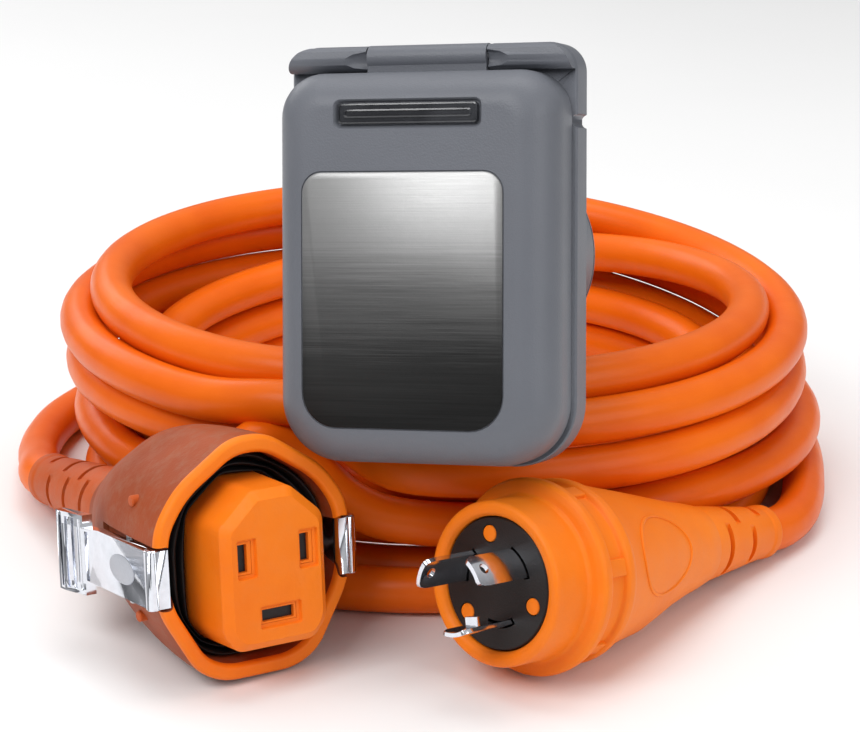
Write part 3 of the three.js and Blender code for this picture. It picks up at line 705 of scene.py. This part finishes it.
def pushed_apart(line, solids, rounds=170):
    """Moves the line clear of itself, the floor and the solids, by a smooth shift."""
    tree = kdtree.KDTree(len(solids))
    for i, point in enumerate(solids):
        tree.insert(point, i)
    tree.balance()
    count = len(line)
    order = np.arange(count)
    apart = np.abs(order[:, None] - order[None, :]) > 8
    loose = np.clip((np.minimum(order, count - 1 - order) - 3) / 6, 0, 1)[:, None]
    shift = np.zeros_like(line)
    for turn in range(rounds):
        here = line + shift
        along = np.gradient(here, axis=0)
        along /= np.linalg.norm(along, axis=1)[:, None]
        push = push_from_turns(here, along, apart) + push_from_solids(here, along, tree)
        push[:, 2] += np.maximum(CABLE_RADIUS + 0.05 - here[:, 2] - push[:, 2], 0)
        settling = turn >= rounds - 40
        shift += blurred(push * loose, 6 if settling else 13) * 1.15
        shift = blurred(shift, 0 if settling else 2)
        shift[:, 2] = np.maximum(shift[:, 2], CABLE_RADIUS + 0.02 - line[:, 2])
    return line + shift


KEEP_CLEAR = [
    "connector_shell", "connector_strain_relief", "connector_latch_left", "connector_latch_right",
    "plug_body", "plug_strain_relief", "inlet_flange", "inlet_wall_gasket", "inlet_rear_housing",
    "inlet_rear_cap", "inlet_cable_grommet", "cover_shell",
]
LATCH_OPEN = 9
swings = [swung_latch(side, degrees) for side in (-1, 1) for degrees in (LATCH_OPEN / 2, LATCH_OPEN)]
route = pushed_apart(wanted_route(), np.vstack([surface_points(KEEP_CLEAR), *swings]))
route_run = run_along(route)
route_steps = np.linspace(0, route_run[-1], int(route_run[-1] / 4.5))
route = spline(np.column_stack([route_run, route]), route_steps) * MM + np.array(COIL)

curve = bpy.data.curves.new("cable", "CURVE")
curve.dimensions = "3D"
curve.bevel_depth = CABLE_RADIUS * MM
curve.bevel_resolution = 9
curve.use_fill_caps = True
centre_line = curve.splines.new("POLY")
centre_line.points.add(len(route) - 1)
centre_line.points.foreach_set("co", np.column_stack([route, np.ones(len(route))]).ravel())
centre_line.use_smooth = True
curve.materials.append(CABLE)
cable = bpy.data.objects.new("cable", curve)
bpy.context.scene.collection.objects.link(cable)
fitted(cable, "cordset", "orange_cable", "cord_coil", "cord_connector_lead", "cord_plug_lead")

# ------------------------------------------------------------------ connector

RIM_DEPTH = 15
LIP = 2.6
SHELL_DEPTH = 118
RELIEF_RADIUS = 15.6
SPRING_DEPTH = 71


def mirrored(half, segments=6):
    """Closed outline from the corners of its right half."""
    left = [(-x, y, reach) for x, y, reach in half if x > 0]
    return corners(list(reversed(half)) + left, segments)


RIM_HALF = [(7, 45.5, 6), (29, 31, 7), (38.5, 17, 7), (38.5, -11, 8), (24, -36, 5.4), (14, -41, 5.2)]
RIM = resampled(mirrored(RIM_HALF), 160)
# Depth, width, height and lift of the shell, as in the model.
SHELL_STATIONS = [
    (0, 1, 1, 0), (22, 0.99, 0.99, 0), (45, 0.96, 0.94, 1), (60, 0.92, 0.88, 2),
    (80, 0.81, 0.77, 2.5), (100, 0.66, 0.62, 1.5), (112, 0.52, 0.5, 0.5), (130, 0.44, 0.43, 0),
]


def core_outline(grow):
    """The core's eight sides, moved out."""
    return mirrored([
        (7.5 + 0.4 * grow, 28.6 + grow, 2),
        (20 + grow, 17.2 + 0.5 * grow, 3),
        (20 + grow, -20 - 0.4 * grow, 3),
        (15 + 0.5 * grow, -26.6 - grow, 3),
    ])


def shell_section(depth, share=1.0):
    """The shell's outline at a depth: the rim's shape, which turns round towards the cable."""
    width, height, lift = spline(SHELL_STATIONS, np.array([depth]))[0]
    size = RIM * (width * share, height * share)
    roundness = np.clip((depth - 62) / 56, 0, 1) ** 1.4
    reach = np.linalg.norm(size, axis=1, keepdims=True)
    circle = size / reach * (RELIEF_RADIUS + (np.mean(reach) - RELIEF_RADIUS) * (1 - roundness))
    return level(size * (1 - roundness) + circle * roundness + (0, lift), -depth)


def connector_shell():
    """A skin whose darker orange is partly dust and partly painted shade, with a cleaner, brighter rim."""
    rings = []
    for depth in np.linspace(SHELL_DEPTH, RIM_DEPTH + 3, 26):
        rings.append(shell_section(depth))
    lip = np.linspace(0, math.pi / 2, 6)
    for angle in lip[1:]:
        depth = RIM_DEPTH + LIP * (1 - math.sin(angle))
        rings.append(shell_section(depth, 1 - 0.045 * (1 - math.cos(angle))))
    for angle in lip:
        depth = RIM_DEPTH + LIP * (1 - math.cos(angle))
        rings.append(shell_section(depth, 0.9 - 0.04 * math.sin(angle)))
    for depth in np.linspace(RIM_DEPTH + 6, 44, 8):
        rings.append(shell_section(depth, 0.86))
    shell = loft("connector_shell_skin", rings, DUSTY_AND_SHADED, CONNECTOR)
    for side in (1, -1):
        near, far = side * 32.6, side * 60
        channel = corners([(near, -11.3, 2), (far, -11.3, 0.1), (far, 11.3, 0.1), (near, 11.3, 2)], 4)
        carved(shell, prism("cutter", channel, -64, -5, None, CONNECTOR))
    bevelled(shell, 0.7, 2, 50)
    shell.data.materials.append(RUBBER)
    for face in shell.data.polygons:
        if face.center.z > -RIM_DEPTH - 3.4:
            face.material_index = 1
    return settled(shell)


fitted(connector_shell(), "cordset", "orange_rubber", "connector_shell")

# Small round nubs on the shell's left side, above and below the latch.
NUB = [(0.1, -2.5), (2, -2.5), (2, 0.6), (1.6, 1), (0.1, 1.1)]
for index, (x, y) in enumerate(((-34, 23), (-33.6, -18.5))):
    nub = lathe(f"connector_nub_{index + 1}", NUB, WORN, CONNECTOR, 32)
    fitted(settled(placed(nub, x, y, -LATCH_PIN_DEPTH, -90, "Y")), "cordset", "orange_rubber")

# The slots' sides, their chamfered recesses, and the narrow mouths of the inserts in them.
CONTACTS = [(-14.9, -9.1, 0.4, 12.2), (9.1, 14.9, 0.6, 12.4), (-7, 7.4, -18, -12.2)]
RECESSES = [(-14.9, -7.9, -0.6, 12.8), (9.1, 16.1, -0.4, 13), (-7, 8.6, -19.2, -11.6)]
MOUTHS = [(-14.2, -10.8, 1.4, 11.2), (10, 13.4, 1.6, 11.4), (-5.9, 6.4, -17.2, -13)]


def connector_core():
    """A bevelled block with three recesses."""
    bevel = 2.8
    rings = [level(core_outline(1.2), -44), level(core_outline(0.4), -bevel - 0.6)]
    rings.append(level(core_outline(0), -bevel))
    rings.append(level(core_outline(-bevel + 0.4), -0.3))
    rings.append(level(core_outline(-bevel), 0))
    core = loft("connector_core_skin", rings, RUBBER, CONNECTOR)
    for contact, recess in zip(CONTACTS, RECESSES):
        floor_ring = level(rectangle(*recess, 0.7, segments=3), -1.3)
        mouth_ring = level(rectangle(*shrunk(recess, -0.5), 0.9, segments=3), 0.6)
        carved(core, loft("cutter", [floor_ring, mouth_ring], None, CONNECTOR))
        carved(core, block(*contact, -34, 1, CONNECTOR))
    return settled(bevelled(core, 0.35, 2, 35))


fitted(connector_core(), "cordset", "orange_rubber", "connector_core")
for index, (contact, mouth) in enumerate(zip(CONTACTS, MOUTHS)):
    insert = block(*shrunk(contact, 0.05), -8.6, -1.45, CONNECTOR)
    insert.name = f"connector_slot_insert_{index + 1}"
    insert.data.materials.append(RUBBER)
    carved(insert, block(*mouth, -12, 3, CONNECTOR))
    # Black blocks a little way down the slots' mouths are painted shade for the slots' depths.
    slot = rectangle(*shrunk(mouth, -0.02), 0.3)
    painted_shade_block = prism(f"connector_slot_painted_shade_block_{index + 1}", slot, -8, -3.2, BLACK, CONNECTOR)
    fitted(settled(bevelled(insert, 0.2)), "cordset", "orange_rubber")
    fitted(settled(painted_shade_block), "cordset", "black_plastic")


def gasket():
    """Black rubber folds that close the space between the core and the shell."""
    outer, inner = RIM * 0.84, resampled(core_outline(0.9), 160)
    rings = []
    for share in np.linspace(0, 1, 61):
        fold = abs(math.sin(3 * math.pi * share)) ** 0.6
        rings.append(level(inner * (1 - share) + outer * share, -28 + 5 * fold - 3.5 * (1 - share)))
    rings += [level(outer, -36), level(inner, -36)]
    return settled(loft("connector_gasket", rings, SEAL, CONNECTOR, closed=True, sharp=70))


fitted(gasket(), "cordset", "black_rubber", "connector_wiper_seal", "connector_core_seal")


def along_y(name, radius, half, x, depth, material, matrix):
    """A round bar across the latch, with softened ends."""
    profile = [(0.1, -half), (radius - 0.5, -half), (radius, -half + 0.5)]
    profile += [(radius, half - 0.5), (radius - 0.5, half), (0.1, half)]
    return placed(lathe(name, profile, material, matrix, 40), x, 0, -depth, 90, "X")


def latch_lever(name, turn):
    """Chrome lever with a rolled hook at the rim and a ribbed thumb pad, whose pocket takes the spring."""
    bar = [(33.6, -15.4), (33.6, -19.5), (36.8, -24), (37.2, -40), (37.4, -57), (42.4, -80), (45.4, -80.4)]
    bar += [(45.6, -76), (43.4, -66), (40.6, -56), (40.6, -17.5), (38, -15.4)]
    pad = [(38.9, -64), (42.4, -80), (45.6, -80.2), (45.5, -76), (42.8, -64)]
    lever = slab(name, bar, 10.2, CHROME, turn)
    carved(lever, slab("pad", pad, 14.6, CHROME, turn), operation="UNION")
    carved(lever, along_y("hook", 2.6, 10.6, 38.8, 17.8, None, turn), operation="UNION")
    for i in range(5):
        depth = 62.4 + i * 3.7
        out = np.interp(depth, [56, 66, 76, 80], [41, 43.4, 45.6, 45.4])
        groove = [(out - 1.1, -depth - 0.7), (out - 1.1, -depth + 0.7), (out + 3, -depth + 1.2)]
        groove.append((out + 3, -depth - 1.2))
        carved(lever, slab("cutter", groove, 13 if i else 9, None, turn))
    bevelled(lever, 0.6, 4, 40, 26)
    pocket = placed(drill(3.6, 38, 42.6, turn), 0, 0, -SPRING_DEPTH, 90, "Y")
    return settled(weighted(carved(lever, pocket)))


def latch_inlay(name, turn):
    """A plain oval, raised a little from the lever's flat."""
    rings = []
    for x, share in ((40.2, 1), (40.7, 1), (40.85, 0.92)):
        ring = [(x, share * 5.2 * math.sin(a), -38 + share * 9.6 * math.cos(a)) for a in all_round(40)]
        rings.append(ring)
    return settled(loft(name, rings, SATIN, turn))


def spring(name, side, turns=3.5, wire=0.36, radius=2.5):
    """A small coil spring under the thumb pad, short enough for the pad's pocket when it is pressed."""
    rings = []
    for share in np.linspace(0, 1, 90):
        angle = 2 * math.pi * turns * share
        ring = []
        for turn in all_round(8):
            out = radius + wire * math.cos(turn)
            x = 34.8 + 2.2 * share + wire * math.sin(turn)
            ring.append((side * x, out * math.cos(angle), -SPRING_DEPTH + out * math.sin(angle)))
        rings.append(ring)
    return settled(loft(name, rings, STEEL, CONNECTOR))


for side, word in WORD.items():
    made = spring(f"connector_latch_spring_{word}_coil", side)
    fitted(made, "cordset", "steel", f"connector_latch_spring_{word}")
    turn = turned(CONNECTOR, 0 if side > 0 else 180)
    lever = latch_lever(f"connector_latch_{word}_plate", turn)
    fitted(lever, f"latch_{word}", "chrome", f"connector_latch_{word}")
    inlay = latch_inlay(f"connector_latch_{word}_inlay", turn)
    fitted(inlay, f"latch_{word}", "chrome")
    node, x = f"connector_latch_pin_{word}", side * LATCH_PIN_X
    pin = along_y(f"{node}_skin", 1.3, 13.4, x, LATCH_PIN_DEPTH, STEEL, CONNECTOR)
    fitted(settled(pin), "cordset", "steel", node)


def relief(name, start, end, radii, rows, pitch, first, material, matrix):
    """Tapered strain relief with staggered slots, and a collar where the cable comes out."""
    r0, r1 = radii
    neck, collar = r1 + 0.5, 5.6
    profile = [(9.0, -end + 0.2), (r1, -end), (r1 + 0.9, -end + 1.4), (r1 + 1, -end + 4.6)]
    profile.append((neck, -end + collar))
    for t in np.linspace(0.1, 1, 9):
        profile.append((neck + (r0 - neck) * t, -end + collar + (end - start - collar) * t))
    profile.append((r0 - 3, -start + 0.2))
    made = lathe(name, softened(profile, 0.5, 2), material, matrix, 72)
    for row in range(rows):
        depth = first + row * pitch
        for half in (-1, 1):
            turn = turned(matrix, 90 * half + 90 * (row % 2))
            outline = rectangle(-r0 + 3.4, r0 - 3.4, -1.6, 1.6, 1.5, segments=4)
            rings = [[(x, out, -depth + y) for x, y in outline] for out in (9.2, 24)]
            carved(made, loft("cutter", rings, None, turn))
    return settled(bevelled(made, 0.3, 2, 50))


made = relief(
    "connector_relief_skin", SHELL_DEPTH - 2, CONNECTOR_END, (15.4, 9.6), 6, 9, 130, WORN, CONNECTOR
)
fitted(made, "cordset", "orange_rubber", "connector_strain_relief")

# ------------------------------------------------------------------ plug

PLUG_BODY = [
    (0.5, -112), (12, -112), (15.4, -111), (17, -104), (18.5, -96), (21, -85), (23.6, -74), (26.2, -63),
    (28.6, -52), (30.5, -44), (31.6, -39.6), (32.6, -38.4), (33.1, -37), (33.1, -34.6), (32.4, -33.6),
    (31, -33), (31, -24.2), (33.8, -23.6), (34.8, -22.8), (35, -20), (34.2, -18.6), (32, -17.8),
    (29.8, -17.4), (29, -16), (29, -1.6), (28.6, -0.6), (27.6, 0), (26, -0.1), (24.6, -0.8), (23.6, -2.2),
    (23.6, -12), (0.5, -12),
]
BULGE_ANGLE, BULGE_DEPTH = rad(-52), 66
OVAL_ANGLE, OVAL_DEPTH = rad(22), 67
PEGS = (110, 230, 350)
PEG_RADIUS = 17.5
# Pole, angle, and whether the blade has a hole or an inner lip.
BLADES = [("neutral", 168, True, False), ("hot", 48, True, False), ("earth", -72, False, True)]
BLADE_HALF = rad(23)


def plug_body():
    """A turned body with a shallow finger bulge below."""
    body = lathe("plug_body_skin", softened(PLUG_BODY, 0.5, 3), RUBBER, PLUG, 128)
    for vertex in body.data.vertices:
        x, y, z = vertex.co
        if math.hypot(x, y) < 14 or z > -40:
            continue
        turn = math.atan2(y, x) - BULGE_ANGLE
        swell = 1 + 0.055 * math.exp(-((turn / 0.42) ** 2) - ((z + BULGE_DEPTH) / 13) ** 2)
        vertex.co.x *= swell
        vertex.co.y *= swell
    return settled(body)


fitted(plug_body(), "cordset", "orange_rubber", "plug_body")


def plug_oval():
    """A plain raised oval on the plug's side."""
    rings = []
    for share in all_round(9):
        ring = []
        for turn in all_round(72):
            reach = 1 + 0.045 * math.cos(share)
            depth = OVAL_DEPTH + 19 * math.cos(turn) * reach
            radius = np.interp(depth, [44, 52, 63, 74, 85, 96], [30.5, 28.6, 26.2, 23.6, 21, 18.5])
            radius += 0.1 + 0.5 * math.sin(share)
            angle = OVAL_ANGLE + 0.58 * math.sin(turn) * reach
            ring.append((radius * math.cos(angle), radius * math.sin(angle), -depth))
        rings.append(ring)
    return settled(loft("plug_oval_ring", rings, RUBBER, PLUG, closed=True, sharp=80))


fitted(plug_oval(), "cordset", "orange_rubber")

ribs = []
for angle in range(20, 380, 60):
    rib = prism("rib", rectangle(30, 32.3, -3.2, 3.2, 0.7, segments=3), -33.4, -24, RUBBER, PLUG)
    ribs.append(placed(rib, 0, 0, 0, angle))
fitted(settled(joined("plug_groove_ribs", ribs)), "cordset", "orange_rubber")


def arc_outline(inner, outer, half):
    """A curved strip between two radii."""
    angles = np.linspace(-half, half, 14)
    out = [(outer * math.cos(a), outer * math.sin(a)) for a in angles]
    return out + [(inner * math.cos(a), inner * math.sin(a)) for a in reversed(angles)]


def plug_disc():
    """Black face with three curved slots for the blades and three round holes for the pegs."""
    profile = [(0.4, -11.7), (23.2, -11.7), (23.2, -2.5), (22.7, -2), (0.4, -2)]
    disc = lathe("plug_disc_skin", profile, BLACK, PLUG, 96)
    for _, angle, _, _ in BLADES:
        carved(disc, prism("cutter", arc_outline(12.9, 15.5, rad(25)), -9, 3, None, turned(PLUG, angle)))
    for angle in PEGS:
        carved(disc, placed(drill(3.2, -6, 3, turned(PLUG, angle)), PEG_RADIUS, 0, 0))
    return settled(bevelled(disc, 0.2, 2, 50))


fitted(plug_disc(), "cordset", "black_plastic", "plug_face_disc")

PEG = [(2.9, -7), (2.9, -2.1), (2.6, -1.7), (1.6, -1.45), (0.3, -1.4)]
for index, angle in enumerate(PEGS):
    peg = lathe(f"plug_peg_{index + 1}_skin", PEG, RUBBER, turned(PLUG, angle), 32)
    fitted(settled(placed(peg, PEG_RADIUS, 0, 0)), "cordset", "orange_rubber", f"plug_peg_{index + 1}")

for pole, angle, has_hole, has_lip in BLADES:
    turn = turned(PLUG, angle)
    rings = []
    for share, z in ((1, -8), (1, -2), (1, 18), (0.97, 20.2), (0.86, 21.8), (0.66, 22.5)):
        rings.append(level(arc_outline(13.4, 15.0, BLADE_HALF * share), z))
    blade = loft(f"plug_blade_{pole}_skin", rings, CHROME, turn)
    if has_hole:
        carved(blade, placed(drill(1.9, 5, 25, turn, 24), 0, 0, 17.6, 90, "Y"))
    if has_lip:
        carved(blade, block(9, 14, -0.6, 5, 13.5, 15.1, turn), operation="UNION")
    fitted(settled(bevelled(blade, 0.22, 2, 45)), "cordset", "chrome", f"plug_blade_{pole}")

made = relief("plug_relief_skin", 111, PLUG_END, (15, 9.6), 4, 8.5, 120, RUBBER, PLUG)
fitted(made, "cordset", "orange_rubber", "plug_strain_relief")

# ------------------------------------------------------------------ inlet

BARREL = 21.8
BARREL_GAP = BARREL + 0.4
SCREWS = [(x, y) for x in (-40, 40) for y in (50, -36)]
WINDOW = (-25.6, 25.0, 45.3, 52.5)


def hinge_bar(radius, half):
    """A round bar on the hinge's axis, half of its length to each side."""
    return placed(drill(radius, -half, half, INLET, 48), 0, HINGE_Y, HINGE_Z, 90, "Y")


def hinge_ledge(inner):
    """A raised step along the flange's top, round the hinge's axis, within the flange's outline."""
    arc = np.linspace(0, math.pi / 2, 7)
    step = [(HINGE_Y - 4.8, 9), *((HINGE_Y - 4.8 * math.cos(a), HINGE_Z + 4.6 * math.sin(a)) for a in arc)]
    step += [(71.4, 18.6), (72.8, 16.8), (73.3, 14), (73.3, 9)]
    ledge = loft("ledge", [[(x, y, z) for y, z in step] for x in (-60, 60)], None, INLET)
    return carved(ledge, prism("cutter", inner, 5, 30, None, INLET), operation="INTERSECT")


def ledge_scoop(side):
    """A tapered hollow in the ledge, beside the barrel."""
    start, end = side * (BARREL + 0.2), side * (BARREL + 11.2)
    profile = [(0.05, start), (4.2, start), (3.4, start + side * 5), (0.5, end), (0.05, end)]
    return placed(lathe("cutter", profile, None, INLET, 32), 0, HINGE_Y - 1.6, 20.6, 90, "Y")


def inlet_flange():
    """The flange, with a ledge either side of the cover's barrel, an opening and four screw holes."""
    outline = rectangle(-52.5, 52.5, -72.5, 73.5, 22, 10, 12)
    inner = rectangle(-51.9, 51.9, -71.9, 72.9, 21.4, 9.4, 12)
    levels = [level(inner, 0), level(outline, 0.6), level(outline, 11.2), level(inner, 12)]
    flange = loft("inlet_flange_skin", levels, GREY, INLET)
    carved(flange, hinge_ledge(inner), operation="UNION")
    carved(flange, ledge_scoop(-1), ledge_scoop(1), hinge_bar(5, BARREL_GAP))
    carved(flange, block(-BARREL_GAP, BARREL_GAP, HINGE_Y, 79, HINGE_Z - 5, 40, INLET))
    carved(flange, prism("cutter", core_outline(4), -5, 20, None, INLET))
    places = [(x, y, radius, back) for x, y in SCREWS for radius, back in ((2.5, -5), (4.5, 8))]
    notch = (52.9, 46.5, 2.4, -5)
    for x, y, radius, back in [*places, notch]:
        carved(flange, placed(drill(radius, back, 20, INLET), x, y, 0))
    return settled(bevelled(flange, 0.35, 2, 45))


fitted(inlet_flange(), "inlet", "grey_plastic", "inlet_flange")


def cover_outline(inset):
    """The cover's outline, moved in."""
    sides = shrunk((-50.9, 50.9, -71.5, 63.6), inset)
    return rectangle(*sides, 22 - 0.6 * inset, 15 - 0.6 * inset, 12)


def cover_shell():
    """A hollow cover with a hinge barrel, a shallow pocket for the label and a window through its face."""
    back, front, wall = 12.3, 37.0, 3.0
    rings = [level(cover_outline(0.5), back), level(cover_outline(0), back + 0.6)]
    for angle in np.linspace(0, math.pi / 2, 16):
        rings.append(level(cover_outline(13 * (1 - math.cos(angle))), front - 15 * (1 - math.sin(angle))))
    cover = loft("cover_shell_skin", rings, GREY, INLET)
    web = block(-BARREL, BARREL, 59.6, HINGE_Y, back + 0.4, HINGE_Z + 3.4, INLET)
    carved(cover, web, hinge_bar(4.4, BARREL), operation="UNION")
    hollow = [level(cover_outline(wall), back - 4)]
    for angle in np.linspace(0, math.pi / 2, 8):
        inset = wall + 12 * (1 - math.cos(angle))
        hollow.append(level(cover_outline(inset), front - wall - 13 * (1 - math.sin(angle))))
    carved(cover, loft("cutter", hollow, None, INLET))
    pocket = [(rectangle(-38.8, 34.3, -58.8, 29.2, 12.2, 7.2), front - 0.5)]
    pocket.append((rectangle(-39.3, 34.8, -59.3, 29.7, 12.7, 7.7), front + 0.5))
    window = [(rectangle(-25.9, 25.3, 45, 52.8, 1.6), front - 2.4)]
    window.append((rectangle(-27.4, 26.8, 43.4, 54.4, 2.8), front + 0.4))
    for mouth in (pocket, window):
        carved(cover, loft("cutter", [level(o, z) for o, z in mouth], None, INLET))
    carved(cover, prism("cutter", rectangle(-24, 23.4, 46.2, 51.6, 1.2), front - 9, front + 5, None, INLET))
    return settled(bevelled(cover, 0.3, 2, 50))


fitted(cover_shell(), "cover", "grey_plastic", "cover_shell")

# The label keeps its millimetres, because the brushing and the painted reflection are drawn in them.
LABEL_PLACE = (-38.5, 34.0, -58.5, 28.9)
foot, face = rectangle(*LABEL_PLACE, 12, 7), rectangle(*shrunk(LABEL_PLACE, 0.5), 11.5, 6.5)
plate = loft("cover_label_skin", [level(foot, 36.6), level(foot, 37.1), level(face, 37.4)], LABEL, INLET)
fitted(plate, "cover", "steel", "cover_label_plate")

foot, face = rectangle(*WINDOW, 1.4), rectangle(-24.8, 24.2, 46.0, 51.8, 1.0)
lens = loft("cover_lens_skin", [level(foot, 34.7), level(foot, 35.5), level(face, 36.3)], CLEAR, INLET)
fitted(settled(lens), "cover", "clear_plastic", "cover_window_lens")
for inset, top in ((0.2, 36.6), (2.2, 36.9)):  # the moulded rims of the window
    wide = rectangle(*shrunk(WINDOW, inset), 1.2)
    slim = rectangle(*shrunk(WINDOW, inset + 0.5), 0.9)
    rings = [level(wide, 36), level(wide, top - 0.2), level(slim, top), level(slim, 36)]
    rim = loft(f"cover_window_rim_{top}", rings, CLEAR, INLET, closed=True)
    fitted(settled(rim), "cover", "clear_plastic")
# A black plate behind the window is painted shade for the cover's hollow seen through it.
painted_shade_backing = prism("cover_window_painted_shade_backing", foot, 32.2, 32.8, BLACK, INLET)
fitted(settled(painted_shade_backing), "cover", "black_plastic")
stripe = rectangle(-23, 22.4, 46.6, 48.0, 0.5, segments=3)
strip = prism("cover_window_strip", stripe, 32.9, 33.3, red_strip(), INLET)
fitted(settled(strip), "cover", "clear_plastic")

HOUSING = [(36.4, -55), (38.4, -55), (39, -54.4), (39, -1), (38.4, -0.3), (36.4, -0.3), (36.4, -55)]
made = lathe("inlet_housing_skin", HOUSING, GREY, INLET)
fitted(settled(made), "inlet", "grey_plastic", "inlet_rear_housing")
CAP = [
    (10.4, -58.3), (36, -58.3), (37.5, -58), (38.7, -57), (39, -56), (39, -55.3), (10.4, -55.3),
    (10.4, -58.3),
]
made = lathe("inlet_cap_skin", CAP, GREY, INLET)
fitted(settled(made), "inlet", "grey_plastic", "inlet_rear_cap")

painted(GREY, "inlet_shroud")
painted(BLACK, "inlet_blade_carrier")
painted(SEAL, "inlet_wall_gasket", "inlet_cable_grommet", "cover_seal")
for pole in ("hot", "neutral", "earth"):
    painted(BRASS, f"inlet_blade_{pole}", f"inlet_terminal_screw_{pole}", f"connector_contact_{pole}")
painted(STEEL, "inlet_hinge_pin", *(f"inlet_mounting_screw_{i}" for i in range(1, 5)))
